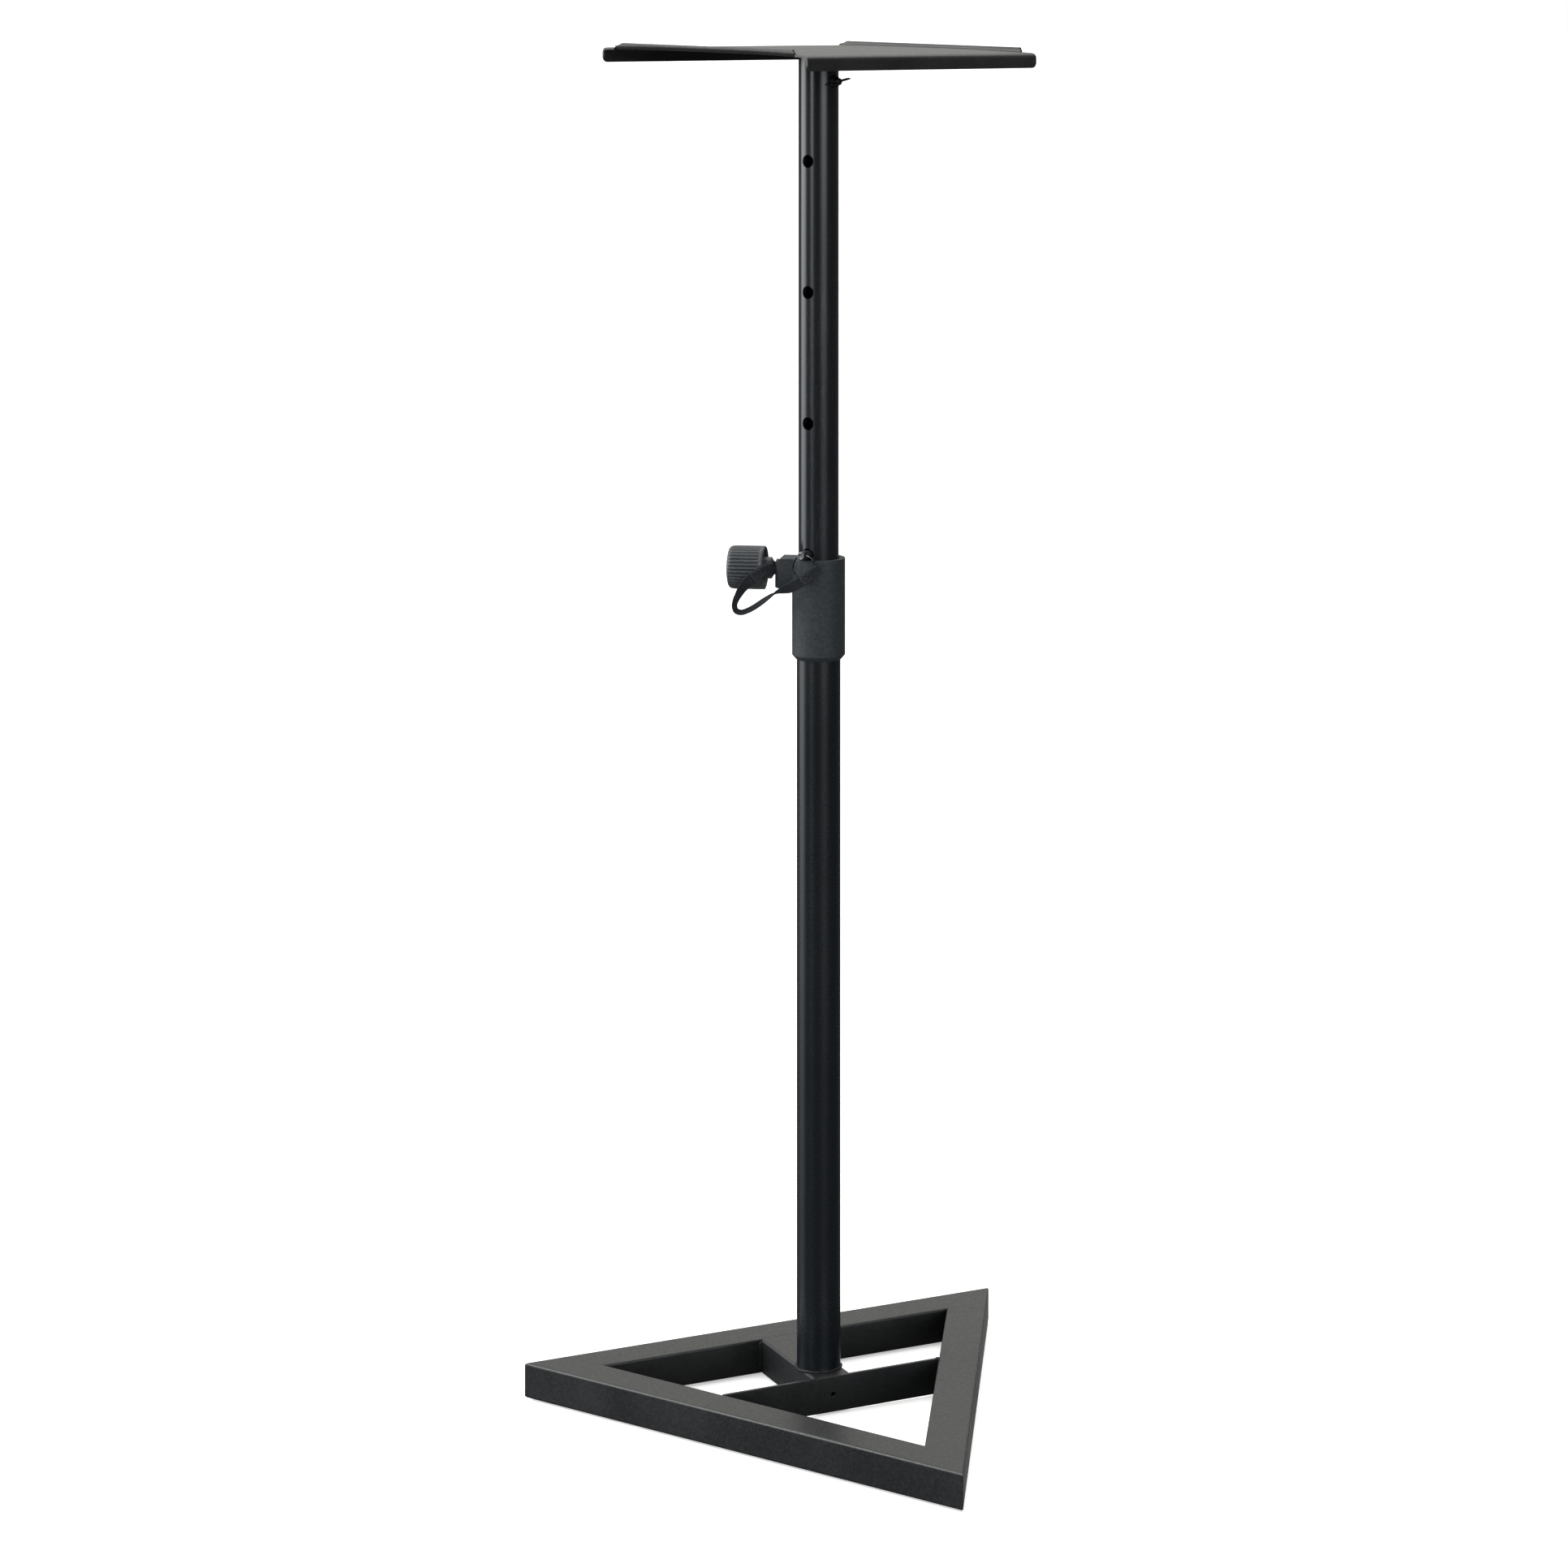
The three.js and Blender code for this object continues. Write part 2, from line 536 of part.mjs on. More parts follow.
// Bent sheet with two flanges, their lower corners rounded.
function flangedSheet(stations) {
  const bendY = PLATE_HALF_W - BEND_R;
  const bendZ = PLATE_EDGE_Z - BEND_R;
  const innerY = PLATE_HALF_W - PLATE_T;
  const innerR = BEND_R - PLATE_T;
  const section = [
    [PLATE_HALF_W, FLANGE_BOTTOM],
    ...quarterArc(bendY, bendZ, BEND_R, 0, 4),
    ...stations.map((y) => [y, sheetTop(y)]).reverse(),
    ...quarterArc(-bendY, bendZ, BEND_R, 90, 4),
    [-PLATE_HALF_W, FLANGE_BOTTOM],
    [-innerY, FLANGE_BOTTOM],
    ...quarterArc(-bendY, bendZ, innerR, 90, 4).reverse(),
    ...stations.map((y) => [y, sheetTop(y) - PLATE_T]),
    ...quarterArc(bendY, bendZ, innerR, 0, 4).reverse(),
    [innerY, FLANGE_BOTTOM],
  ];
  const cornerX = PLATE_HALF_L - FLANGE_CORNER_R;
  const cornerZ = FLANGE_BOTTOM + FLANGE_CORNER_R;
  const sideView = [ // [x, z]
    [PLATE_HALF_L, PLATE_EDGE_Z + 20], [-PLATE_HALF_L, PLATE_EDGE_Z + 20],
    ...quarterArc(-cornerX, cornerZ, FLANGE_CORNER_R, 180, 4),
    ...quarterArc(cornerX, cornerZ, FLANGE_CORNER_R, 270, 4),
  ];
  const trim = prism(sideView, -PLATE_HALF_W - 5, PLATE_HALF_W + 5).applyMatrix4(turnX(QUARTER));
  return solid(sectionAlongX(section, -PLATE_HALF_L, PLATE_HALF_L)).intersect(solid(trim));
}

// Low upturned lip along an open edge, from x0, with chamfered ends.
function edgeLip(stations, x0) {
  const end = PLATE_HALF_W - LIP_INSET;
  const lipTop = PLATE_EDGE_Z + LIP_H;
  const roots = [-end, ...stations.filter((y) => Math.abs(y) < end - 3), end];
  const section = [
    ...roots.map((y) => [y, sheetTop(y) - LIP_SINK]),
    [end, PLATE_EDGE_Z], [end - LIP_H, lipTop], [-end + LIP_H, lipTop], [-end, PLATE_EDGE_Z],
  ];
  return solid(sectionAlongX(section, x0, x0 + PLATE_T));
}

function platformPlate() {
  const stations = sheetStations();
  const plate = flangedSheet(stations)
    .add(edgeLip(stations, -PLATE_HALF_L))
    .add(edgeLip(stations, PLATE_HALF_L - PLATE_T));
  return geometryOf(plate);
}

// Tube under the plate that turns inside the upper tube.
const spigot = () => ring(15.6, 13.6, 1092, PLATE_EDGE_Z + PLATE_CROWN - PLATE_T - 0.1, 40);

const platform = face(group(frame), PLATE_DIR, 0);
part('platform_plate', platformPlate(), MATERIALS.plate, platform);
part('platform_spigot', spigot(), MATERIALS.frame, platform);

export default stand;
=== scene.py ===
import bpy
import bmesh
import math
import numpy as np
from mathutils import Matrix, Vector


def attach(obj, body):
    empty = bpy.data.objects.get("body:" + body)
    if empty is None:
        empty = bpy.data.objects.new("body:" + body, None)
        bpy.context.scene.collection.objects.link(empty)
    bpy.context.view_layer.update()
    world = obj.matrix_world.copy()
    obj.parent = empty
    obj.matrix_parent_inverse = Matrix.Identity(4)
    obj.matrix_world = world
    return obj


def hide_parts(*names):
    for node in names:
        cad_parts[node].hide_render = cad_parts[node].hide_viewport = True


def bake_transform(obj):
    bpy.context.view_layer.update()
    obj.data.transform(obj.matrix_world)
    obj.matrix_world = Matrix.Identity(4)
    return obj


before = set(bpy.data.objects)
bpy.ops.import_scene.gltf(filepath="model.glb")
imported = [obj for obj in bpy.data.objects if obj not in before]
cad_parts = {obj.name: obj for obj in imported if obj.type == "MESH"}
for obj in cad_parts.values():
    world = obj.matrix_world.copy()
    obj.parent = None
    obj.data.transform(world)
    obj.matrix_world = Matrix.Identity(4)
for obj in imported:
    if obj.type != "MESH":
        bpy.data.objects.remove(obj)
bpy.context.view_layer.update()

# ------------------------------------------------------------------ dimensions (mm, about the pole axis)
PY, PT = 54.29, 1.5          # pole axis in the row frame, height of the rubber pads
SIDE, BAR_W, BAR_H = 455.0, 35.0, 30.5
CY = -13.5                   # centre of the triangle
PIN_Z, PITCH, HOLE_DIR = 737.0, 113.5, 211.6
COLLAR_R, COLLAR_B, COLLAR_T = 23.1, 645.0, 732.7
KNOB_Z, KNOB_DIR = 722.8, 146.2
WING_Z, WING_DIR = 1146.5, -65.8
PLATE_A, PLATE_B, EDGE_Z, CROWN = 131.5, 136.0, 1173.3, 1.6
PLATE_TURN = 16.3
VIEW = math.radians(25.85)   # direction the camera looks, turned from +Y towards +X

XH = np.array([math.cos(VIEW), -math.sin(VIEW), 0.0])    # right of the view
YH = np.array([math.sin(VIEW), math.cos(VIEW), 0.0])     # away from the camera
ZH = np.array([0.0, 0.0, 1.0])
rad = math.radians
rng = np.random.default_rng(7)


# ------------------------------------------------------------------ mesh helpers
def to_m(v):
    v = np.array(v, float).reshape(-1, 3).copy()
    v[:, 1] += PY
    v[:, 2] += PT
    return v / 1000.0


def about(v, turn, z=0.0):
    """(tangential, up, radial) lathe coordinates to the pole frame, for a piece on a radial axis."""
    v = np.asarray(v, float)
    c, s = math.cos(rad(turn)), math.sin(rad(turn))
    return np.stack([v[:, 2] * c - v[:, 0] * s, v[:, 2] * s + v[:, 0] * c, z + v[:, 1]], 1)


def fillet(points, n=4, closed=True):
    """Rounds the corners of a polyline whose points are (x, y, radius)."""
    out = []
    m = len(points)
    for i, p in enumerate(points):
        r = p[2] if len(p) > 2 else 0.0
        if r <= 0 or (not closed and i in (0, m - 1)):
            out.append((p[0], p[1]))
            continue
        a, b = points[i - 1], points[(i + 1) % m]
        c = np.array(p[:2], float)
        u = np.array(a[:2], float) - c
        w = np.array(b[:2], float) - c
        lu, lw = np.linalg.norm(u), np.linalg.norm(w)
        u, w = u / lu, w / lw
        half = math.acos(max(-1, min(1, float(u @ w)))) / 2
        d = min(r / math.tan(half), lu * 0.49, lw * 0.49)
        rr = d * math.tan(half)
        mid = (u + w) / np.linalg.norm(u + w)
        o = c + mid * (rr / math.sin(half))
        s, e = c + u * d - o, c + w * d - o
        for k in range(n + 1):
            t = k / n
            q = s * (1 - t) + e * t
            q = q / np.linalg.norm(q) * rr
            out.append(tuple(o + q))
    return out


def lathe(profile, seg, rmod=None, closed=False):
    """Turns (radius, height) points about Z. Zero radii at the ends close on the axis."""
    verts, faces, rows = [], [], []
    for i, (r, z) in enumerate(profile):
        if r <= 1e-9:
            rows.append([len(verts)])
            verts.append((0, 0, z))
            continue
        row = []
        for k in range(seg):
            a = 2 * math.pi * k / seg
            q = rmod(i, r, z, a) if rmod else r
            row.append(len(verts))
            verts.append((q * math.cos(a), q * math.sin(a), z))
        rows.append(row)
    pairs = list(zip(rows, rows[1:])) + ([(rows[-1], rows[0])] if closed else [])
    for a, b in pairs:
        for k in range(seg):
            k2 = (k + 1) % seg
            if len(a) == 1 and len(b) == 1:
                continue
            if len(a) == 1:
                faces.append((a[0], b[k2], b[k]))
            elif len(b) == 1:
                faces.append((a[k], a[k2], b[0]))
            else:
                faces.append((a[k], a[k2], b[k2], b[k]))
    return np.array(verts, float), faces


def ring_profile(ro, ri, z0, z1, b=0.3):
    return fillet([(ri, z0, b), (ro, z0, b), (ro, z1, b), (ri, z1, b)], 3)


def extrude(outline, z0, z1):
    n = len(outline)
    v = [(x, y, z0) for x, y in outline] + [(x, y, z1) for x, y in outline]
    f = [tuple(range(n))[::-1], tuple(range(n, 2 * n))]
    f += [(i, (i + 1) % n, n + (i + 1) % n, n + i) for i in range(n)]
    return np.array(v, float), f


def join(*parts):
    vs, fs, at = [], [], 0
    for v, f in parts:
        vs.append(np.asarray(v, float))
        fs += [tuple(i + at for i in p) for p in f]
        at += len(v)
    return np.concatenate(vs), fs


def mesh_of(name, v, f, metres=False):
    me = bpy.data.meshes.new(name)
    co = np.asarray(v, float) if metres else to_m(v)
    me.from_pydata(co.tolist(), [], [list(p) for p in f])
    me.validate()
    me.update()
    ob = bpy.data.objects.new(name, me)
    bpy.context.scene.collection.objects.link(ob)
    return ob


def tidy(ob, angle=38.0, merge=2e-7, normals=True):
    bm = bmesh.new()
    bm.from_mesh(ob.data)
    bmesh.ops.remove_doubles(bm, verts=bm.verts, dist=merge)
    bmesh.ops.dissolve_degenerate(bm, edges=bm.edges, dist=1e-8)
    if normals:
        bmesh.ops.recalc_face_normals(bm, faces=bm.faces)
    for fa in bm.faces:
        fa.smooth = True
    lim = rad(angle)
    for e in bm.edges:
        e.smooth = not (len(e.link_faces) == 2 and e.calc_face_angle(0) > lim)
    bm.to_mesh(ob.data)
    bm.free()
    ob.data.update()
    return ob


def baked(ob):
    """Applies every modifier on ob."""
    bpy.context.view_layer.update()
    dg = bpy.context.evaluated_depsgraph_get()
    me = bpy.data.meshes.new_from_object(ob.evaluated_get(dg), preserve_all_data_layers=True, depsgraph=dg)
    ob.modifiers.clear()
    old = ob.data
    ob.data = me
    bpy.data.meshes.remove(old)
    return ob


def cut(ob, *tools):
    for t in tools:
        tidy(t)
        m = ob.modifiers.new("cut", "BOOLEAN")
        m.operation, m.solver, m.object = "DIFFERENCE", "EXACT", t
    baked(ob)
    for t in tools:
        me = t.data
        bpy.data.objects.remove(t)
        bpy.data.meshes.remove(me)
    return ob


def bevel(ob, width=0.3, segments=2, angle=40.0):
    m = ob.modifiers.new("edges", "BEVEL")
    m.width, m.segments, m.limit_method, m.angle_limit = width / 1000.0, segments, "ANGLE", rad(angle)
    m.use_clamp_overlap = True
    baked(ob)
    return ob


def weighted(ob):
    m = ob.modifiers.new("flat_faces", "WEIGHTED_NORMAL")
    m.keep_sharp = True
    m.weight = 80
    baked(ob)
    return ob


def piece(ob, body, mat, slot, *nodes):
    ob.data.materials.clear()
    ob.data.materials.append(mat)
    if body:
        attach(ob, body)
    if nodes:
        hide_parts(*nodes)
    return ob


# ------------------------------------------------------------------ materials
class Tree:
    """A little shorthand for a node material."""

    def __init__(self, name):
        self.mat = bpy.data.materials.new(name)
        self.mat.use_nodes = True
        self.t = self.mat.node_tree
        self.t.nodes.clear()
        self.out = self.t.nodes.new("ShaderNodeOutputMaterial")
        self.b = self.t.nodes.new("ShaderNodeBsdfPrincipled")
        self.t.links.new(self.b.outputs[0], self.out.inputs[0])
        self.co = self.t.nodes.new("ShaderNodeTexCoord").outputs["Object"]

    def put(self, kind, **inputs):
        n = self.t.nodes.new(kind)
        for k, v in inputs.items():
            if k.startswith("_"):
                setattr(n, k[1:], v)
                continue
            sock = n.inputs[int(k[1:])] if k[0] == "i" and k[1:].isdigit() else n.inputs[k.replace("__", " ")]
            self.set(sock, v)
        return n

    def set(self, sock, v):
        if isinstance(v, bpy.types.NodeSocket):
            self.t.links.new(v, sock)
        else:
            sock.default_value = v

    def scaled(self, sx, sy, sz):
        return self.put("ShaderNodeMapping", Vector=self.co, Scale=(sx, sy, sz)).outputs[0]

    def noise(self, scale, detail=3.0, rough=0.5, vec=None, dist=0.0):
        return self.put("ShaderNodeTexNoise", Vector=vec or self.co, Scale=scale, Detail=detail, Roughness=rough, Distortion=dist).outputs["Fac"]

    def math(self, op, a, b=0.0, c=0.0):
        return self.put("ShaderNodeMath", _operation=op, i0=a, i1=b, i2=c).outputs[0]

    def range(self, v, a, b, c, d, smooth=False):
        n = self.put("ShaderNodeMapRange", Value=v)
        if smooth:
            n.interpolation_type = "SMOOTHSTEP"
        for k, x in (("From Min", a), ("From Max", b), ("To Min", c), ("To Max", d)):
            n.inputs[k].default_value = x
        return n.outputs[0]

    def mix(self, f, a, b):
        n = self.put("ShaderNodeMix", _data_type="RGBA")
        self.set(n.inputs["Factor"], f)
        self.set(n.inputs[6], a)
        self.set(n.inputs[7], b)
        return n.outputs[2]

    def bump(self, height, strength, dist, normal=None):
        n = self.put("ShaderNodeBump", Height=height, Strength=strength, Distance=dist)
        if normal:
            self.set(n.inputs["Normal"], normal)
        return n.outputs[0]

    def end(self, **kw):
        for k, v in kw.items():
            self.set(self.b.inputs[k.replace("__", " ")], v)
        return self.mat


def col(r, g, b):
    return (r, g, b, 1.0)


def powder(name, dark, light, rough, peel=0.10, worn=0.5, spec=0.5):
    """Satin powder coat: fine orange peel, faint smudges, dust specks and rubbed patches."""
    t = Tree(name)
    cloud = t.noise(14.0, 4.0, 0.55)
    fine = t.noise(520.0, 2.0, 0.6)
    grain = t.noise(1900.0, 1.0, 0.5)
    base = t.mix(t.range(cloud, 0.35, 0.7, 0.0, 1.0, True), col(*dark), col(*light))
    speck = t.range(t.put("ShaderNodeTexVoronoi", Vector=t.co, Scale=230.0, Randomness=1.0).outputs["Distance"], 0.03, 0.075, 1.0, 0.0)
    keep = t.range(t.noise(60.0, 2.0), 0.60, 0.66, 0.0, 1.0)
    dust = t.math("MULTIPLY", speck, keep)
    base = t.mix(t.math("MULTIPLY", dust, 0.22), base, col(0.16, 0.155, 0.145))
    scuff = t.range(t.noise(38.0, 5.0, 0.72, t.scaled(1, 1, 3.0), 0.4), 0.66, 0.78, 0.0, 1.0, True)
    base = t.mix(t.math("MULTIPLY", scuff, 0.25 * worn), base, col(0.09, 0.09, 0.092))
    tooth = t.noise(360.0, 2.0, 0.7)
    base = t.mix(t.range(tooth, 0.30, 0.70, 0.30, 0.0), base, col(dark[0] * 0.35, dark[1] * 0.35, dark[2] * 0.35))
    r = t.math("ADD", t.range(fine, 0.3, 0.7, rough - 0.06, rough + 0.06), t.range(tooth, 0.3, 0.7, -0.05, 0.05))
    r = t.math("ADD", r, t.math("MULTIPLY", scuff, 0.10 * worn))
    r = t.math("ADD", r, t.math("MULTIPLY", t.range(cloud, 0.3, 0.7, -1.0, 1.0), 0.03))
    n = t.bump(tooth, peel * 0.8, 0.0006)
    n = t.bump(fine, peel, 0.0006, n)
    n = t.bump(grain, peel * 0.8, 0.00025, n)
    return t.end(Base__Color=base, Roughness=r, Normal=n, Specular__IOR__Level=spec)


def enamel(name, dark, light, rough, rub=None, dust=0.25):
    """Semi-gloss tube paint with faint lengthwise drawing marks, and rub marks between two heights."""
    t = Tree(name)
    cloud = t.noise(9.0, 3.0, 0.5)
    streak = t.noise(60.0, 3.0, 0.6, t.scaled(26.0, 26.0, 0.35))
    fine = t.noise(700.0, 2.0, 0.55)
    grain = t.noise(2300.0, 1.0, 0.5)
    base = t.mix(t.range(streak, 0.35, 0.68, 0.0, 1.0, True), col(*dark), col(*light))
    speck = t.range(t.put("ShaderNodeTexVoronoi", Vector=t.co, Scale=260.0, Randomness=1.0).outputs["Distance"], 0.02, 0.06, 1.0, 0.0)
    keep = t.range(t.noise(45.0, 2.0), 0.62, 0.68, 0.0, 1.0)
    base = t.mix(t.math("MULTIPLY", t.math("MULTIPLY", speck, keep), dust), base, col(0.17, 0.17, 0.165))
    r = t.range(fine, 0.3, 0.7, rough - 0.015, rough + 0.03)
    r = t.math("ADD", r, t.math("MULTIPLY", t.range(cloud, 0.3, 0.7, -1.0, 1.0), 0.02))
    if rub:
        z = t.put("ShaderNodeSeparateXYZ", i0=t.co).outputs[2]
        band = t.math("MULTIPLY", t.range(z, rub[0], rub[0] + 0.02, 0.0, 1.0, True), t.range(z, rub[1] - 0.15, rub[1], 1.0, 0.0, True))
        lines = t.range(t.noise(60.0, 4.0, 0.7, t.scaled(42.0, 42.0, 0.6)), 0.55, 0.75, 0.0, 1.0, True)
        marks = t.math("MULTIPLY", band, lines)
        base = t.mix(t.math("MULTIPLY", marks, 0.30), base, col(0.075, 0.077, 0.08))
        r = t.math("ADD", r, t.math("MULTIPLY", marks, 0.12))
    n = t.bump(fine, 0.011, 0.0005)
    n = t.bump(grain, 0.05, 0.0002, n)
    n = t.bump(streak, 0.007, 0.0006, n)
    return t.end(Base__Color=base, Roughness=r, Normal=n, Specular__IOR__Level=0.55)


def moulded(name, dark, light, rough, grain_scale=1400.0, grain=0.30, spec=0.45):
    """Spark-eroded moulding grain with mottling and a little handling polish."""
    t = Tree(name)
    cloud = t.noise(55.0, 5.0, 0.62)
    mott = t.noise(420.0, 3.0, 0.6)
    g = t.noise(grain_scale, 2.0, 0.65)
    base = t.mix(t.range(mott, 0.35, 0.66, 0.0, 1.0, True), col(*dark), col(*light))
    base = t.mix(t.range(cloud, 0.55, 0.8, 0.0, 0.35, True), base, col(light[0] * 1.35, light[1] * 1.33, light[2] * 1.3))
    scr = t.range(t.noise(30.0, 6.0, 0.75, t.scaled(1.0, 3.0, 9.0), 0.8), 0.68, 0.76, 0.0, 1.0, True)
    base = t.mix(t.math("MULTIPLY", scr, 0.18), base, col(0.2, 0.2, 0.2))
    r = t.range(cloud, 0.3, 0.75, rough - 0.07, rough + 0.06)
    n = t.bump(g, grain, 0.0002)
    n = t.bump(mott, grain * 0.35, 0.0004, n)
    return t.end(Base__Color=base, Roughness=r, Normal=n, Specular__IOR__Level=spec)


def metal(name, tone, rough, scale=(1, 1, 1), stain_and_glint=(0.25, 0.22, 0.18), wear_and_glint=0.35, fine=1500.0):
    t = Tree(name)
    brush = t.noise(fine, 3.0, 0.6, t.scaled(*scale))
    cloud = t.noise(160.0, 4.0, 0.6)
    # patches of this colour are real stains and wear on the other metals; on the dark spring wire they are light
    # patches painted in as glints
    base = t.mix(t.range(cloud, 0.45, 0.75, 0.0, wear_and_glint, True), col(*tone), col(*stain_and_glint))
    base = t.mix(t.range(brush, 0.3, 0.7, 0.0, 0.25), base, col(tone[0] * 0.6, tone[1] * 0.6, tone[2] * 0.62))
    r = t.range(brush, 0.3, 0.7, rough - 0.06, rough + 0.12)
    n = t.bump(brush, 0.10, 0.0001)
    return t.end(Base__Color=base, Metallic=1.0, Roughness=r, Normal=n)


def webbing(name):
    """Woven nylon: the ribs are in the mesh, this adds the yarns from the band's own coordinates."""
    t = Tree(name)
    along = t.put("ShaderNodeAttribute", _attribute_name="along").outputs["Fac"]
    across = t.put("ShaderNodeAttribute", _attribute_name="across").outputs["Fac"]
    diag = t.math("SINE", t.math("MULTIPLY", t.math("ADD", along, across), 2 * math.pi / 0.62))
    yarn = t.math("SINE", t.math("MULTIPLY", across, 2 * math.pi / 0.46))
    pick = t.math("COSINE", t.math("MULTIPLY", t.math("ADD", along, t.math("MULTIPLY", across, 0.25)), 2 * math.pi / 1.6))
    weave = t.math("ADD", t.math("MULTIPLY", diag, 0.45), t.math("MULTIPLY", yarn, 0.55))
    fuzz = t.noise(2600.0, 2.0, 0.7)
    base = t.mix(t.range(pick, -1.0, 1.0, 0.0, 1.0), col(0.004, 0.005, 0.0068), col(0.017, 0.020, 0.025))
    base = t.mix(t.range(weave, -1.0, 1.0, 0.0, 0.38), base, col(0.030, 0.035, 0.042))
    base = t.mix(t.range(t.noise(300.0, 3.0, 0.6), 0.5, 0.75, 0.0, 0.4, True), base, col(0.048, 0.050, 0.052))
    n = t.bump(weave, 0.55, 0.00012)
    n = t.bump(fuzz, 0.35, 0.00012, n)
    return t.end(Base__Color=base, Roughness=0.82, Normal=n, Specular__IOR__Level=0.22, Sheen__Weight=0.10, Sheen__Roughness=0.5, Sheen__Tint=col(0.7, 0.75, 0.8))


def thread_mat(name):
    t = Tree(name)
    tw = t.noise(3200.0, 2.0, 0.6)
    base = t.mix(t.range(tw, 0.3, 0.7, 0.0, 1.0), col(0.020, 0.023, 0.028), col(0.060, 0.066, 0.074))
    return t.end(Base__Color=base, Roughness=0.7, Normal=t.bump(tw, 0.5, 0.0001), Sheen__Weight=0.2)


def rubber(name):
    t = Tree(name)
    m = t.noise(900.0, 3.0, 0.6)
    dirt = t.noise(120.0, 4.0, 0.6)
    base = t.mix(t.range(dirt, 0.45, 0.8, 0.0, 0.6, True), col(0.012, 0.012, 0.013), col(0.05, 0.048, 0.045))
    return t.end(Base__Color=base, Roughness=t.range(m, 0.3, 0.7, 0.75, 0.95), Normal=t.bump(m, 0.3, 0.0002), Specular__IOR__Level=0.3)


M_BASE = powder("painted_base", (0.0090, 0.0097, 0.0107), (0.0148, 0.0154, 0.0164), 0.40, peel=0.13, worn=0.6)
M_PLATE = powder("painted_plate", (0.0125, 0.0125, 0.012), (0.020, 0.0198, 0.0188), 0.44, peel=0.20, worn=0.7)
M_WELD = powder("painted_weld", (0.0060, 0.0064, 0.0070), (0.0095, 0.0100, 0.0107), 0.52, peel=0.22, worn=0.1, spec=0.26)
M_LOWER = enamel("painted_lower_tube", (0.0044, 0.0062, 0.0084), (0.0062, 0.0086, 0.0112), 0.26, dust=0.10)
M_UPPER = enamel("painted_upper_tube", (0.0062, 0.0078, 0.0105), (0.0092, 0.0115, 0.0145), 0.215, rub=(0.735, 1.10))
M_COLLAR = moulded("collar_plastic", (0.0215, 0.0262, 0.0298), (0.0335, 0.0387, 0.0430), 0.60, 900.0, 0.34, 0.30)
M_KNOB = moulded("knob_plastic", (0.040, 0.0435, 0.048), (0.056, 0.061, 0.066), 0.46, 1500.0, 0.22)
M_BUSH = moulded("bush_plastic", (0.42, 0.42, 0.40), (0.50, 0.50, 0.47), 0.42, 1200.0, 0.1)
M_PLUG = moulded("plug_plastic", (0.012, 0.012, 0.013), (0.022, 0.022, 0.023), 0.5, 1300.0, 0.2)
M_BRASS = metal("turned_brass", (0.060, 0.052, 0.036), 0.46, (1, 1, 1), (0.035, 0.030, 0.022))
M_ZINC = metal("zinc_plate", (0.17, 0.175, 0.19), 0.40, (1, 1, 1), (0.30, 0.29, 0.27))
# dark spring wire: the light patches in its colour are painted glints
M_RING = metal("spring_wire", (0.034, 0.034, 0.040), 0.16, (1, 1, 1), (0.50, 0.50, 0.54), 0.60)
M_SCREW = metal("screw_steel", (0.16, 0.16, 0.17), 0.36, (1, 1, 1), (0.10, 0.09, 0.08), 0.5)
M_BLACKOX = metal("black_oxide", (0.055, 0.057, 0.062), 0.40, (1, 1, 1), (0.16, 0.15, 0.14), 0.4)
M_WEB = webbing("nylon_webbing")
M_THREAD = thread_mat("sewing_thread")
M_RUBBER = rubber("foot_rubber")


# ------------------------------------------------------------------ base: three mitred bars, welded and ground
IN_R = SIDE / (2 * math.sqrt(3))


def section(r=2.2, n=5, w=BAR_W, h=BAR_H):
    """Rounded rectangle: distance from the outer side, and height."""
    return fillet([(0, 0, r), (w, 0, r), (w, h, r), (0, h, r)], n)


def base_frame():
    sec = section()
    turns = [-90, 30, 150]
    verts, faces = [], []
    n = len(sec)
    steps = 14
    rows = []
    for s in range(3):
        a, b = turns[s], turns[(s + 1) % 3]
        for k in range(steps):
            t = k / steps
            row = []
            for d, z in sec:
                ro = 2 * (IN_R - d)
                pa = np.array([math.cos(rad(a)), math.sin(rad(a))]) * ro
                pb = np.array([math.cos(rad(b)), math.sin(rad(b))]) * ro
                p = pa * (1 - t) + pb * t
                row.append(len(verts))
                verts.append((p[0], p[1] + CY, z))
            rows.append(row)
    m = len(rows)
    for i in range(m):
        a, b = rows[i], rows[(i + 1) % m]
        for k in range(n):
            faces.append((a[k], a[(k + 1) % n], b[(k + 1) % n], b[k]))
    ob = mesh_of("base_weldment", verts, faces)
    tidy(ob, 30)
    bevel(ob, 0.3, 3, 45)
    tidy(ob, 50)
    return weighted(ob)


piece(base_frame(), "stand_base", M_BASE, "black_painted_steel", "base_rear_bar", "base_front_left_bar", "base_front_right_bar")

# spine tube that carries the pole
SPINE_B = CY + IN_R - BAR_W
sec = fillet([(-17.5, 0, 2.2), (17.5, 0, 2.2), (17.5, BAR_H, 2.2), (-17.5, BAR_H, 2.2)], 5)
v, f = extrude(sec, -26.95, SPINE_B - 0.4)
v = np.stack([v[:, 0], v[:, 2], v[:, 1]], 1)
ob = mesh_of("base_spine", v, f)
tidy(ob, 30)
tv, tf = extrude([(-15.5, 2), (15.5, 2), (15.5, BAR_H - 2), (-15.5, BAR_H - 2)], -40, 70)
cut(ob, mesh_of("tool", np.stack([tv[:, 0], tv[:, 2], tv[:, 1]], 1), tf))
tidy(ob, 30)
bevel(ob, 0.35, 2, 60)
tidy(ob, 50)
piece(weighted(ob), "stand_base", M_BASE, "black_painted_steel", "base_spine_tube")

# cross bar, a flat on edge, with its small drilled hole
apex = CY - 2 * (IN_R - BAR_W)


def half_at(y):
    return (y - apex) / math.sqrt(3) - 0.12


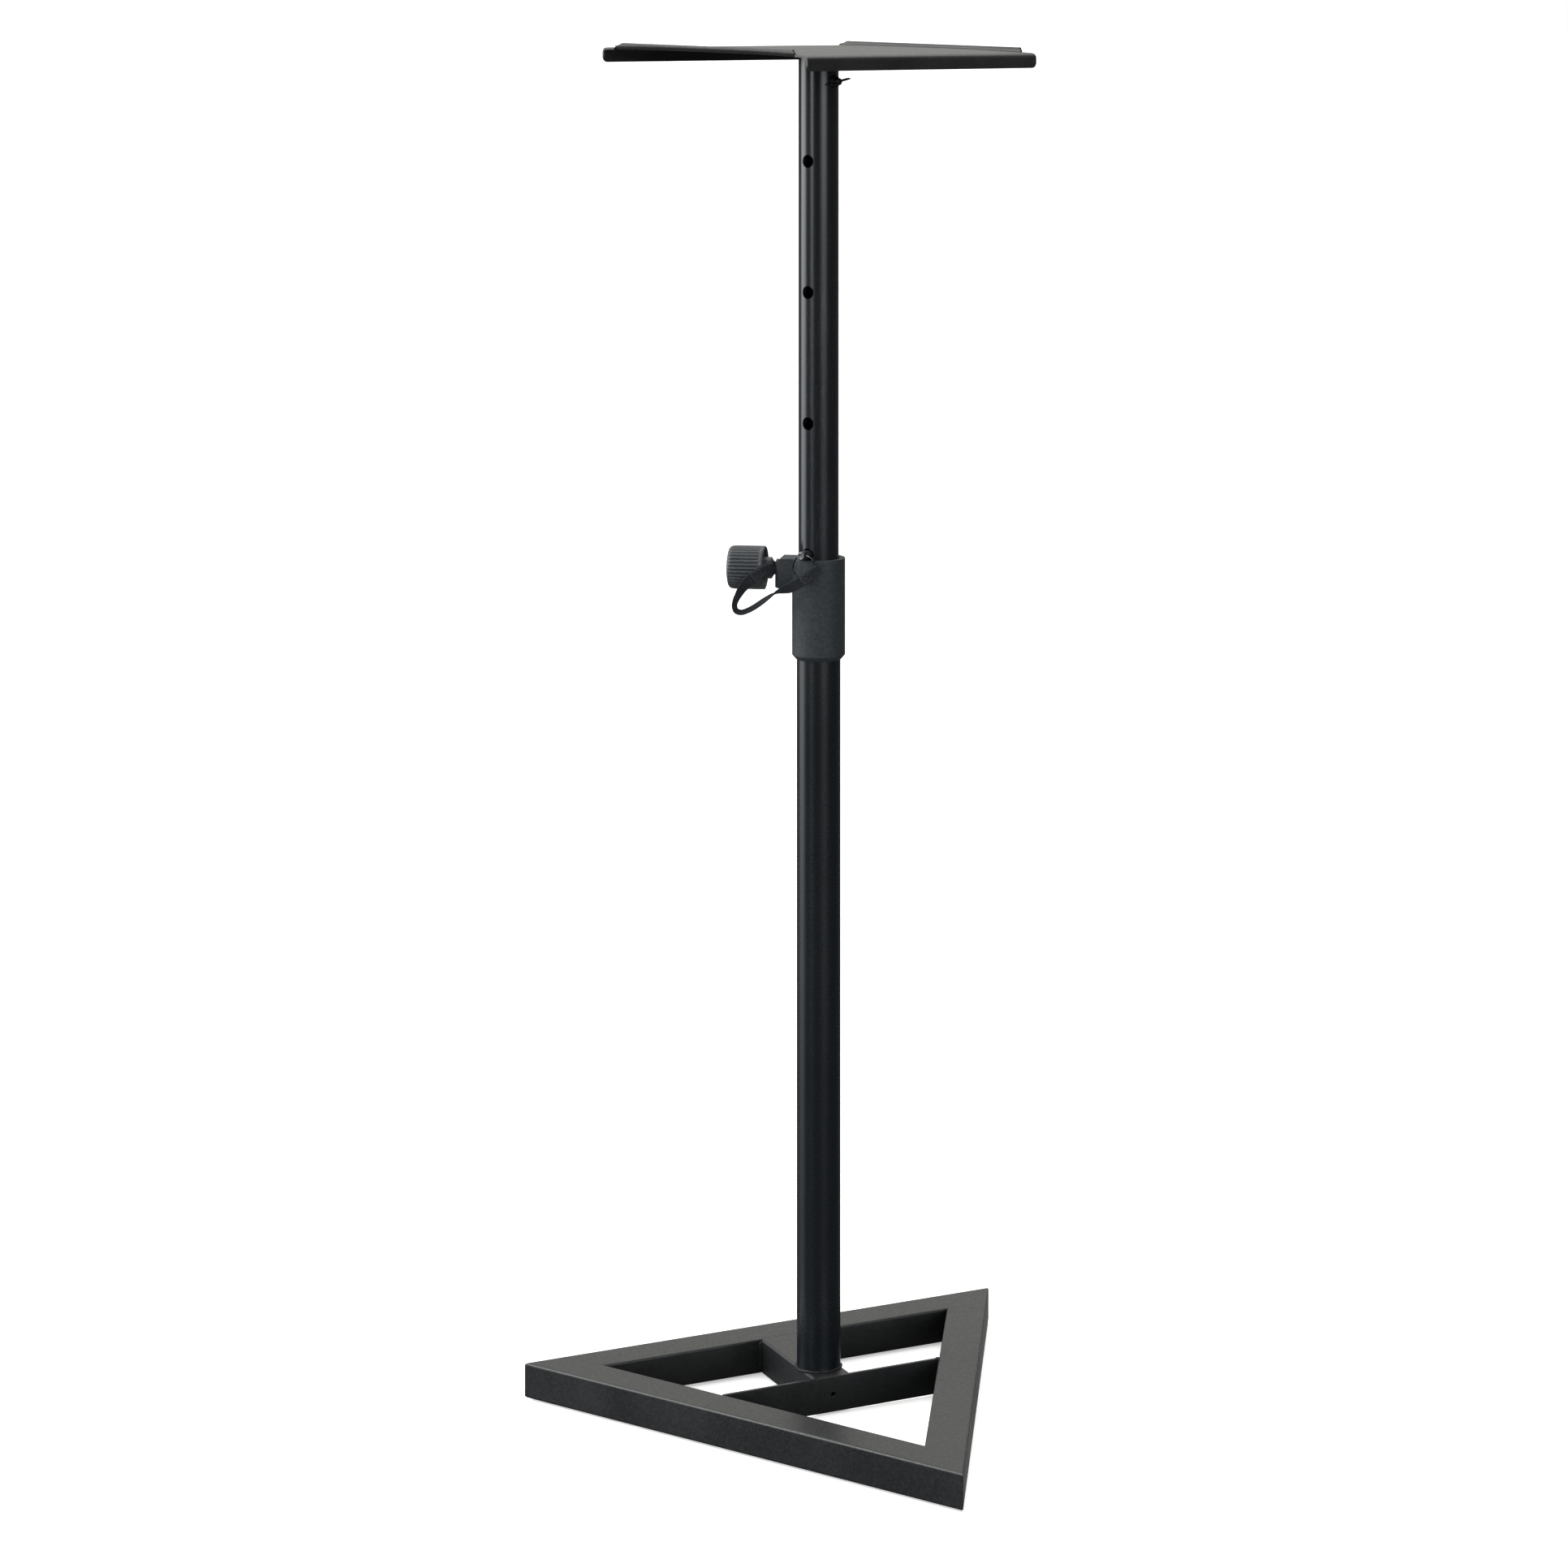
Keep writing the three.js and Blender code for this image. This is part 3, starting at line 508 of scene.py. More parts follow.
v, f = extrude([(-half_at(-30), -30), (half_at(-30), -30), (half_at(-27), -27), (-half_at(-27), -27)], 0.1, BAR_H)
ob = mesh_of("base_flat_bar", v, f)
tidy(ob)
tv, tf = lathe([(0, -8), (1.9, -8), (1.9, 8), (0, 8)], 40)
tool = mesh_of("tool", np.stack([tv[:, 0], tv[:, 2] - 28.5, tv[:, 1] + BAR_H / 2], 1), tf)
cut(ob, tool)
tidy(ob)
bevel(ob, 0.4, 3, 40)
tidy(ob, 50)
piece(weighted(ob), "stand_base", M_BASE, "black_painted_steel", "base_cross_bar")


# ------------------------------------------------------------------ weld beads
def bead(path, size, closed=False, pitch=2.0, seed=1, seg=12, flat=0.85):
    """A laid weld bead: overlapping puddles along a path."""
    r = np.random.default_rng(seed)
    path = np.array(path, float)
    n = len(path)
    d = np.roll(path, -1, 0) - path
    if not closed:
        d[-1] = d[-2]
    length = np.linalg.norm(d, axis=1)
    s = np.concatenate([[0], np.cumsum(length)[:-1]])
    wob = np.interp(s, np.arange(0, s[-1] + 6, 3.0), r.uniform(-1, 1, len(np.arange(0, s[-1] + 6, 3.0))))
    if closed:
        wob *= np.minimum(1, np.minimum(s, s[-1] - s) / 3.0)
    rows, verts, faces = [], [], []
    for i in range(n):
        t = (path[(i + 1) % n] - path[i - 1]) if closed or 0 < i < n - 1 else d[i]
        t = t / np.linalg.norm(t)
        u = np.cross(t, ZH)
        if np.linalg.norm(u) < 0.2:
            u = np.cross(t, YH)
        u /= np.linalg.norm(u)
        w = np.cross(u, t)
        puddle = 1 - 0.14 * ((s[i] / pitch) % 1.0) ** 2
        q = size * (puddle + 0.10 * wob[i])
        if not closed:
            q *= math.sqrt(max(0.02, min(1.0, min(s[i], s[-1] - s[i]) / (1.1 * size))))
        rows.append(len(verts))
        for k in range(seg):
            a = 2 * math.pi * k / seg
            verts.append(path[i] + (u * math.cos(a) + w * math.sin(a) * flat) * q)
    m = n if closed else n - 1
    for i in range(m):
        a, b = rows[i], rows[(i + 1) % n]
        for k in range(seg):
            faces.append((a + k, a + (k + 1) % seg, b + (k + 1) % seg, b + k))
    if not closed:
        for i in (0, n - 1):
            c = len(verts)
            verts.append(path[i])
            for k in range(seg):
                faces.append((rows[i] + k, rows[i] + (k + 1) % seg, c))
    return np.array(verts), faces


def line(a, b, n):
    return [np.array(a, float) * (1 - t) + np.array(b, float) * t for t in np.linspace(0, 1, n)]


foot = []
for k in range(220):
    a = 2 * math.pi * k / 220
    side = abs(math.cos(a))
    drop = max(0.0, side - 0.90) / 0.10
    foot.append((19.15 * math.cos(a), 19.25 * math.sin(a), BAR_H + 0.55 - 0.9 * drop))
beads = [bead(foot, 1.55, True, 2.6, 3)]
for s in (-1, 1):
    beads.append(bead(line((s * 18.1, SPINE_B - 0.6, 1.5), (s * 18.0, SPINE_B - 0.6, BAR_H - 1.9), 30), 2.2, False, 2.8, 11 + s))
    beads.append(bead(line((s * 17.7, -26.8, 1.5), (s * 17.7, -26.8, BAR_H - 2.6), 30), 1.35, False, 2.4, 21 + s))
    x0, x1 = half_at(-30), half_at(-27)
    beads.append(bead(line((s * (x0 - 0.1), -30.2, 1.0), (s * (x0 - 0.1), -30.2, BAR_H - 1.2), 32), 1.35, False, 2.5, 31 + s))
    beads.append(bead(line((s * (x1 - 0.5), -26.6, 1.0), (s * (x1 - 0.5), -26.6, BAR_H - 1.2), 32), 1.25, False, 2.5, 41 + s))
# a short tack over the end of the flat bar
beads.append(bead(line((half_at(-28.5) - 3.6, -28.6, BAR_H - 0.25), (half_at(-28.5) + 0.8, -28.4, BAR_H - 0.1), 14), 1.15, False, 2.0, 55))
ob = mesh_of("weld_beads", *join(*beads))
piece(tidy(ob, 80), "stand_base", M_WELD, "black_painted_steel")

# ------------------------------------------------------------------ lower tube
v, f = lathe(ring_profile(19.0, 17.82, BAR_H + 0.05, 706.0, 0.25), 160, closed=True)
ob = mesh_of("pole_lower", v, f)
piece(weighted(tidy(ob, 45)), "stand_base", M_LOWER, "black_tube_gloss", "lower_tube")


# ------------------------------------------------------------------ collar with its clamp boss
def collar():
    R, OUT, HW, C = COLLAR_R, 36.9, 12.5, 4.5
    # plan of the boss side, in the boss's own axes, from the fillet on one side to the front
    fr = 3.2                                  # fillet between boss and barrel
    yc = HW + fr
    xc = math.sqrt((R + fr) ** 2 - yc ** 2)   # fillet centre
    a_end = math.atan2(yc, xc)
    half = []
    steps = 9
    for k in range(steps):                    # fillet arc, from the barrel to the boss side
        t = k / steps
        a0 = a_end + math.pi
        a1 = -math.pi / 2
        a0 = math.atan2(math.sin(a0), math.cos(a0))
        a = a0 + (a1 - a0) * t
        half.append((xc + fr * math.cos(a), yc + fr * math.sin(a)))
    for k in range(7):
        half.append((xc + (OUT - C - xc) * k / 7, HW))
    for k in range(9):                        # corner of the boss
        a = math.pi / 2 * (1 - k / 8)
        half.append((OUT - C + C * math.cos(a), HW - C + C * math.sin(a)))
    for k in range(1, 6):
        half.append((OUT, (HW - C) * (1 - k / 6)))
    half.append((OUT, 0.0))
    plan = half[::-1] + [(x, -y) for x, y in half][0:0]
    # full turn: front, one side, round the back, the other side
    pts = half[::-1]
    a0 = math.atan2(half[0][1], half[0][0])
    back = 74
    for k in range(1, back):
        a = a0 + (2 * math.pi - 2 * a0) * k / back
        pts.append((R * math.cos(a), R * math.sin(a)))
    pts += [(x, -y) for x, y in half[:-1]]
    pts = np.array(pts)
    ang = np.arctan2(pts[:, 1], pts[:, 0])
    dist = np.hypot(pts[:, 0], pts[:, 1])
    n = len(pts)
    circ = np.stack([np.cos(ang), np.sin(ang)], 1)
    boss = dist > R + 1e-6

    rows = []

    def row(r, z):
        rows.append(np.column_stack([circ * r, np.full(n, z)]))

    def boss_row(t, z, chamfer=None, grow=0.0):
        r = R + (dist - R) * t
        x = circ[:, 0] * r
        if chamfer is not None:
            over = x > chamfer
            r = np.where(over & (circ[:, 0] > 0.2), chamfer / np.maximum(circ[:, 0], 0.2), r)
        r = r + grow
        lift = 1.3 * np.clip((circ[:, 0] * r - 24.0) / 12.9, 0, 1) * max(0.0, (726.5 - z) / 21.0)
        rows.append(np.column_stack([circ * r[:, None], z + lift]))

    # inner wall up, then the top, then down the outside
    row(19.25, COLLAR_B + 0.3)
    row(19.4, COLLAR_B)
    row(19.65, COLLAR_B)
    row(19.85, COLLAR_B + 0.12)
    row(20.6, COLLAR_B + 0.95)
    row(22.0, COLLAR_B + 2.5)
    row(22.85, COLLAR_B + 3.5)                # plain lower chamfer
    row(23.05, COLLAR_B + 3.85)
    row(R, COLLAR_B + 4.3)
    for z in (655, 668, 682, 692, 700.5):
        row(R, z)
    zb = 705.7
    for t, dz in ((0.0, -2.4), (0.02, -1.7), (0.06, -1.05), (0.12, -0.55), (0.22, -0.2), (0.36, -0.05), (0.52, 0.0), (0.70, 0.0), (0.86, 0.02), (0.94, 0.1), (0.98, 0.32), (1.0, 0.8)):
        rows.append(None)
        boss_row(t, zb + dz)
        rows.pop(-2)
    for z in (708.2, 711, 716, 722, 726.5):
        boss_row(1.0, z)
    ch = 4.6
    top = COLLAR_T
    for k in range(9):
        z = top - ch - 0.5 + (ch + 0.5 - 0.55) * k / 8
        lim = 36.9 - max(0.0, z - (top - ch))
        if k == 0:
            lim = 36.9
        boss_row(1.0, z, lim)
    boss_row(1.0, top - 0.22, 36.9 - ch + 0.28, -0.07)
    boss_row(1.0, top - 0.04, 36.9 - ch + 0.02, -0.28)
    boss_row(1.0, top, 36.9 - ch - 0.3, -0.6)
    # flat top, in to the lip
    last = rows[-1]
    rl = np.hypot(last[:, 0], last[:, 1])
    for t in (0.35, 0.7):
        r = rl * (1 - t) + 18.7 * t
        rows.append(np.column_stack([circ * r[:, None], np.full(n, top)]))
    row(18.7, top)
    row(18.3, top - 0.12)
    row(18.1, top - 0.45)
    row(18.1, top - 3.0)
    row(19.25, top - 3.0)
    row(19.25, 690)
    verts = np.concatenate(rows)
    faces = []
    m = len(rows)
    for i in range(m):
        a, b = i * n, ((i + 1) % m) * n
        for k in range(n):
            faces.append((a + k, a + (k + 1) % n, b + (k + 1) % n, b + k))
    c, s = math.cos(rad(KNOB_DIR)), math.sin(rad(KNOB_DIR))
    w = np.column_stack([verts[:, 0] * c - verts[:, 1] * s, verts[:, 0] * s + verts[:, 1] * c, verts[:, 2]])
    ob = mesh_of("collar_moulding", w, faces)
    tidy(ob, 50)
    v1, f1 = lathe([(0, 15), (5.4, 15), (5.4, 60), (0, 60)], 40)
    v2, f2 = lathe([(0, 27.5), (8.3, 27.5), (8.3, 60), (0, 60)], 48)
    cut(ob, mesh_of("tool_a", about(v1, KNOB_DIR, KNOB_Z), f1), mesh_of("tool_b", about(v2, KNOB_DIR, KNOB_Z), f2))
    return weighted(tidy(ob, 50))


piece(collar(), "stand_base", M_COLLAR, "charcoal_plastic", "collar")


# ------------------------------------------------------------------ clamp knob and screw
def knob():
    R = 18.85
    IN, OUT = 46.8, 79.6
    barrel = [
        (16.85, IN + 0.5), (17.1, IN + 0.12), (17.5, IN), (18.1, IN + 0.05), (R - 0.2, IN + 0.35), (R, IN + 0.9), (R, IN + 2.0), (R, IN + 2.7),
        (R, IN + 3.1), (R, IN + 3.5), (R, IN + 3.9), (R, IN + 4.4), (R, IN + 10), (R, IN + 16), (R, IN + 22), (R - 0.02, IN + 25.4), (R - 0.06, IN + 26.2),
        (R - 0.12, IN + 27.0), (R - 0.2, IN + 27.8), (R - 0.33, IN + 28.6), (R - 0.55, IN + 29.4), (R - 0.9, IN + 30.2), (R - 1.45, IN + 30.9), (R - 2.2, IN + 31.45),
        (R - 3.2, IN + 31.8),
    ]
    face = [(14.6, OUT - 0.75), (14.2, OUT - 0.72), (13.9, OUT - 1.1), (13.3, OUT - 1.15), (12.9, OUT - 0.7), (12.4, OUT - 0.6), (8, OUT - 0.22), (4, OUT - 0.05), (0, OUT)]
    recess = [(0, 58.4), (5.0, 58.4), (5.2, 58.2), (5.2, 39.2), (5.4, 38.9), (5.8, 39.0), (9.15, 41.1), (9.4, 41.6), (9.4, 51.4), (9.8, 52), (15.9, 52), (16.4, 51.5), (16.75, 47.6)]
    prof = recess + barrel + face
    first = len(recess)

    def depth(i, z):
        if i < first or z < IN + 2.6 or z > OUT - 2.0:
            return 0.0
        a = min(1.0, (z - (IN + 2.6)) / 1.5)
        b = min(1.0, (OUT - 2.2 - z) / 3.6)
        return max(0.0, min(a, b)) ** 0.7

    per = 2 * math.pi / 36

    def rmod(i, r, z, a):
        d = depth(i, z)
        if d <= 0:
            return r
        x = ((a / per) % 1.0 - 0.5) * 2          # -1..1, groove at the ends
        g = math.exp(-(((1 - abs(x)) / 0.34) ** 2))
        crown = 0.16 * x * x
        return r - d * (1.05 * g + crown)

    v, f = lathe(prof, 36 * 14, rmod)
    ob = mesh_of("knob_moulding", about(v, KNOB_DIR, KNOB_Z), f)
    return weighted(tidy(ob, 60))


piece(knob(), "clamp_knob", M_KNOB, "knob_plastic", "clamp_knob")


def thread(z0, z1, R, pitch, depth, seg=48, ends=1.0, neck=None):
    per = 10
    n = int((z1 - z0) / pitch * per)
    verts, faces = [], []
    for i in range(n + 1):
        z = z0 + (z1 - z0) * i / n
        edge = min(z - z0, z1 - z)
        for k in range(seg):
            a = 2 * math.pi * k / seg
            ph = (z / pitch - k / seg) % 1.0
            tri = abs(ph - 0.5) * 2
            h = min(1.0, max(0.0, (tri - 0.14) / 0.72))
            r = R - depth * (1 - h)
            r -= max(0.0, ends - edge) * 0.8
            if neck:
                k = min(1.0, max(0.0, min(z - neck[0], neck[1] - z) / 0.7))
                r = r * (1 - k) + min(r, neck[2]) * k
            verts.append((r * math.cos(a), r * math.sin(a), z))
    for i in range(n):
        for k in range(seg):
            faces.append((i * seg + k, i * seg + (k + 1) % seg, (i + 1) * seg + (k + 1) % seg, (i + 1) * seg + k))
    for i, z in ((0, z0), (n, z1)):
        c = len(verts)
        verts.append((0, 0, z))
        for k in range(seg):
            faces.append((i * seg + k, i * seg + (k + 1) % seg, c))
    return np.array(verts), faces


v, f = thread(21.35, 58.0, 4.95, 1.5, 0.85, neck=(33.2, 42.0, 4.05))
ob = mesh_of("knob_screw", about(v, KNOB_DIR, KNOB_Z), f)
piece(tidy(ob, 70), "clamp_knob", M_SCREW, "zinc_steel", "clamp_screw")


# ------------------------------------------------------------------ upper tube
def upper():
    v, f = lathe(ring_profile(17.5, 15.95, 375.0, 1168.5, 0.3), 160, closed=True)
    ob = mesh_of("pole_upper", v, f)
    tidy(ob, 45)
    tools = []
    for i in range(-3, 4):
        tv, tf = lathe([(0, -30), (5.6, -30), (5.6, 30), (0, 30)], 48)
        tools.append(mesh_of("tool", about(tv, HOLE_DIR, PIN_Z + i * PITCH), tf))
    tv, tf = lathe([(0, 10), (3.3, 10), (3.3, 30), (0, 30)], 32)
    tools.append(mesh_of("tool", about(tv, WING_DIR, WING_Z), tf))
    cut(ob, *tools)
    tidy(ob, 45, 1e-6)
    bevel(ob, 0.22, 2, 60)
    return weighted(tidy(ob, 45, 1e-6))


piece(upper(), "upper_pole", M_UPPER, "black_tube_gloss", "upper_tube")

# weld nut near the top, with its bead
v1, f1 = lathe(fillet([(3.25, 16.9, 0.2), (4.9, 16.9, 0.2), (4.9, 20.6, 0.5), (3.25, 20.6, 0.4)], 4), 48, closed=True)
loop = []
for k in range(90):
    a = 2 * math.pi * k / 90
    t, u = 5.0 * math.cos(a), 5.0 * math.sin(a)
    loop.append((t, u, math.sqrt(17.5 ** 2 - t * t) + 0.15))
loop = about(np.array(loop), WING_DIR, WING_Z)
ob = mesh_of("wing_boss", *join((about(v1, WING_DIR, WING_Z), f1), bead(loop, 0.6, True, 1.6, 9, 10)))
piece(tidy(ob, 60), "upper_pole", M_WELD, "black_painted_steel", "wing_screw_weld_nut")


# ------------------------------------------------------------------ wing screw
def wing_screw():
    tv, tf = thread(14.6, 21.6, 2.95, 1.0, 0.55, 36, 0.6)
    hv, hf = lathe(fillet([(0, 21.0, 0), (2.9, 21.0, 0.2), (3.3, 21.6, 0.3), (3.0, 24.3, 0.6), (1.9, 25.0, 0.5), (0, 25.0, 0)], 4, False), 48)
    parts = [(tv, tf), (hv, hf)]
    for s in (1, -1):
        rows, verts, faces = [], [], []
        n, seg = 20, 16
        for i in range(n + 1):
            t = i / n
            c_t = 1.4 + (12.2 - 1.4) * t                        # out from the screw axis
            c_r = 23.0 + 2.6 * t ** 1.3                          # sweeps outward
            wide = 1.7 + 0.5 * math.sin(math.pi * t) + 0.3 * t
            thick = 1.05 - 0.4 * t
            if t > 0.82:
                q = math.sqrt(max(0.0, 1 - ((t - 0.82) / 0.18) ** 2))
                wide *= max(0.10, q)
                thick *= max(0.30, q ** 0.5)
            rows.append(len(verts))
            for k in range(seg):
                a = 2 * math.pi * k / seg
                ca, sa = math.cos(a), math.sin(a)
                x = math.copysign(abs(ca) ** 0.7, ca) * wide
                y = math.copysign(abs(sa) ** 0.6, sa) * thick
                verts.append((s * c_t, y, c_r + x))
        for i in range(n):
            for k in range(seg):
                faces.append((rows[i] + k, rows[i] + (k + 1) % seg, rows[i + 1] + (k + 1) % seg, rows[i + 1] + k))
        for i in (0, n):
            c = len(verts)
            verts.append(tuple(np.mean([verts[rows[i] + k] for k in range(seg)], 0)))
            for k in range(seg):
                faces.append((rows[i] + k, rows[i] + (k + 1) % seg, c))
        parts.append((np.array(verts, float), faces))
    v, f = join(*parts)
    # the wings stand a few degrees off level
    a = rad(13.0)
    v = np.column_stack([v[:, 0] * math.cos(a) - v[:, 1] * math.sin(a), v[:, 0] * math.sin(a) + v[:, 1] * math.cos(a), v[:, 2]])
    ob = mesh_of("wing_screw_forged", about(v, WING_DIR, WING_Z), f)
    return tidy(ob, 55)


piece(wing_screw(), "wing_screw", M_BLACKOX, "black_oxide_steel", "wing_screw")

# ------------------------------------------------------------------ locking pin
prof = fillet([(0, -23, 0), (2.4, -23, 0.8), (4.0, -21.2, 0.6), (4.0, 27.3, 0.7), (3.1, 28.6, 0.5), (2.0, 28.6, 0.25), (1.6, 28.2, 0.2), (0, 28.2, 0)], 4, False)
v, f = lathe(prof, 64)
ob = mesh_of("index_pin", about(v, HOLE_DIR, PIN_Z), f)
tidy(ob, 45)
RING_AT = 25.8
cone = [(0, -6), (3.2, -6), (3.2, -4.6), (1.55, -2.4), (1.55, 2.4), (3.2, 4.6), (3.2, 6), (0, 6)]
tv, tf = lathe(cone, 40)
# along the tangential direction of the pin
tv = np.stack([tv[:, 2], tv[:, 1] + 0.6, tv[:, 0] + RING_AT], 1)
tool = mesh_of("tool", about(tv, HOLE_DIR, PIN_Z), [p[::-1] for p in tf])
cut(ob, tool)
piece(weighted(tidy(ob, 40)), "locking_pin", M_ZINC, "zinc_steel", "locking_pin")

# ------------------------------------------------------------------ split ring
HD = rad(HOLE_DIR)
hole_c = np.array([RING_AT * math.cos(HD), RING_AT * math.sin(HD), PIN_Z + 0.6])
yaw = rad(-32.5 + 11.5)
RE1 = XH * math.cos(yaw) + YH * math.sin(yaw)      # ring's level direction
REN = np.cross(RE1, ZH)
RING_R = 10.4
tip = rad(11.0)
ring_c = hole_c + RE1 * (RING_R * math.sin(tip)) - ZH * (RING_R * math.cos(tip))


def split_ring():
    rows, verts, faces = [], [], []
    n, seg = 300, 12
    turns = 1.97
    for i in range(n + 1):
        t = i / n
        a = -0.55 + 2 * math.pi * turns * t
        x = (t * turns) % 1.0
        side = -0.36 + 0.72 * (1 / (1 + math.exp(-(t - 0.5) * 34)))
        ca, sa = math.cos(a), math.sin(a)
        c = ring_c + (RE1 * ca + ZH * sa) * RING_R + REN * side
        out = RE1 * ca + ZH * sa
        q = 1.0
        edge = min(t, 1 - t) * turns * 2 * math.pi * RING_R
        if edge < 0.5:
            q = math.sqrt(max(0.05, 1 - (1 - edge / 0.5) ** 2))
        rows.append(len(verts))
        for k in range(seg):
            b = 2 * math.pi * k / seg
            cb, sb = math.cos(b), math.sin(b)
            verts.append(c + out * (0.60 * math.copysign(abs(cb) ** 0.8, cb)) * q + REN * (0.34 * math.copysign(abs(sb) ** 0.8, sb)) * q)
    for i in range(n):
        for k in range(seg):
            faces.append((rows[i] + k, rows[i] + (k + 1) % seg, rows[i + 1] + (k + 1) % seg, rows[i + 1] + k))
    for i in (0, n):
        c = len(verts)
        verts.append(np.mean([verts[rows[i] + k] for k in range(seg)], 0))
        for k in range(seg):
            faces.append((rows[i] + k, rows[i] + (k + 1) % seg, c))
    return tidy(mesh_of("split_ring", verts, faces), 60)


piece(split_ring(), "pin_ring", M_RING, "zinc_steel", "pin_ring")

# ------------------------------------------------------------------ webbing strap
BAND, THICK = 9.3, 1.15
KD = rad(KNOB_DIR)
ER = np.array([math.cos(KD), math.sin(KD), 0.0])
ET = np.array([-math.sin(KD), math.cos(KD), 0.0])
KC = np.array([0.0, 0.0, KNOB_Z])
DV = -YH                                            # towards the camera


def local(r, t, z):
    return KC + ER * r + ET * t + ZH * z


def smooth(x):
    x = min(1.0, max(0.0, x))
    return x * x * (3 - 2 * x)


def catmull(points, ds):
    """Centripetal Catmull-Rom through points, resampled evenly at about ds."""
    p = np.array(points, float)
    p = np.vstack([2 * p[0] - p[1], p, 2 * p[-1] - p[-2]])
    out = []
    for i in range(1, len(p) - 2):
        q = p[i - 1:i + 3]
        t = [0.0]
        for k in range(3):
            t.append(t[-1] + max(1e-6, np.linalg.norm(q[k + 1] - q[k])) ** 0.5)
        for x in np.linspace(t[1], t[2], 40, endpoint=False):
            a1 = (t[1] - x) / (t[1] - t[0]) * q[0] + (x - t[0]) / (t[1] - t[0]) * q[1]
            a2 = (t[2] - x) / (t[2] - t[1]) * q[1] + (x - t[1]) / (t[2] - t[1]) * q[2]
            a3 = (t[3] - x) / (t[3] - t[2]) * q[2] + (x - t[2]) / (t[3] - t[2]) * q[3]
            b1 = (t[2] - x) / (t[2] - t[0]) * a1 + (x - t[0]) / (t[2] - t[0]) * a2
            b2 = (t[3] - x) / (t[3] - t[1]) * a2 + (x - t[1]) / (t[3] - t[1]) * a3
            out.append((t[2] - x) / (t[2] - t[1]) * b1 + (x - t[1]) / (t[2] - t[1]) * b2)
    out.append(p[-2])
    out = np.array(out)
    s = np.concatenate([[0], np.cumsum(np.linalg.norm(np.diff(out, axis=0), axis=1))])
    n = max(2, int(round(s[-1] / ds)) + 1)
    u = np.linspace(0, s[-1], n)
    return np.column_stack([np.interp(u, s, out[:, k]) for k in range(3)])


# the middle line, from the fork at the knob's hub out round the hanging loop to the ring
M0 = local(37.95, 8.3, 0.2)
wire_a = rad(-14.0)
wire = ring_c + (RE1 * math.cos(wire_a) + ZH * math.sin(wire_a)) * RING_R
into = np.array(wire - (XH * -7.7 + YH * -27.6 + ZH * 720.6))
into = into / np.linalg.norm(into)
mid_path = [
    M0, local(39.5, 11.6, 0.7), local(44.0, 18.4, 0.9), local(49.4, 22.6, -2.3), local(56.3, 24.0, -7.2), local(63.2, 24.0, -15.2),
    (-68.6, 17.8, 701.4), (-69.9, 19.8, 697.1), (-70.5, 21.0, 692.4), (-69.2, 20.8, 688.3), (-65.6, 18.9, 686.7), (-60.8, 15.9, 688.3), (-55.6, 12.5, 691.6),
    (-49.0, 7.7, 697.2), (-43.3, 2.6, 702.4), (-38.4, -3.3, 706.0), (-32.3, -10.0, 709.6), (-26.2, -16.4, 714.6), XH * -7.7 + YH * -27.6 + ZH * 720.6,
    wire, wire + into * 2.4,
]
DS = 0.25
C = catmull(mid_path, DS)
T = np.gradient(C, axis=0)
T /= np.linalg.norm(T, axis=1)[:, None]
S = np.concatenate([[0], np.cumsum(np.linalg.norm(np.diff(C, axis=0), axis=1))])
LEN = S[-1]


def s_near(p):
    return S[int(np.argmin(np.linalg.norm(C - np.array(p, float), axis=1)))]


keys = [
    (s_near(mid_path[3]), -90), (s_near(mid_path[4]), -88), (s_near(mid_path[5]), -56), (s_near(mid_path[6]), -40), (s_near(mid_path[7]), -32), (s_near(mid_path[8]), -25),
    (s_near(mid_path[10]), -18), (s_near(mid_path[12]), -20), (s_near(mid_path[13]), -19), (s_near(mid_path[14]), -6), (s_near(mid_path[15]), 34),
    (s_near(mid_path[16]), 74), (s_near(mid_path[17]), 88), (LEN, 92),
]
ks, kb = np.array([k[0] for k in keys]), np.array([k[1] for k in keys], float)
beta = np.interp(S, ks, kb)
ker = np.hanning(25)
ker /= ker.sum()
beta = np.convolve(np.pad(beta, 12, mode="edge"), ker, mode="valid")
Wm = np.zeros_like(C)
s3 = s_near(mid_path[3])
for i in range(len(C)):
    q = np.cross(DV, T[i])
    q /= max(1e-9, np.linalg.norm(q))
    w = math.cos(rad(beta[i])) * DV + math.sin(rad(beta[i])) * q
    if S[i] < 3.6:
        k = smooth(1 - S[i] / 3.6)
        # turn from lying along the knob's axis to facing out
        w = w * (1 - k) + ER * k * 1.4
    w = w - T[i] * (w @ T[i])
    Wm[i] = w / np.linalg.norm(w)
Nm = np.cross(T, Wm)                                # at the knob end this points back, at the ring end to the camera

GATHER = 1.85                                       # width of the gathered part in the groove
HALF = 0.64                                         # half spacing of two sewn layers
FOLD_A = s_near(mid_path[4]) - 2.2                  # where the sewn end stops, knob side
FOLD_B = LEN - 2.4 - 15.5                           # and ring side
pos, wid, bow, width = [], [], [], []


def add(p, w, b=0.0, wd=BAND):
    pos.append(np.array(p, float))
    wid.append(np.array(w, float))
    bow.append(np.array(b, float) if np.ndim(b) else np.zeros(3))
    width.append(wd)


def ease_band(s):
    """Half spacing from the middle line along the main band."""
    a = 1 - smooth((s - FOLD_A) / 4.0)
    b = smooth((s - (FOLD_B - 4.0)) / 4.0)
    return a, b


def wide_at(s):
    """The band is gathered where it passes into the groove between knob and boss."""
    k = smooth((s - 0.2) / 3.4) ** 0.7
    return GATHER * (1 - k) + BAND * k


EYE = 1.62
s_spread0, s_wire = LEN - 2.4 - 5.5, LEN - 2.4


def spread(s):
    return HALF + (EYE - HALF) * smooth((s - s_spread0) / (s_wire - 0.5 - s_spread0))


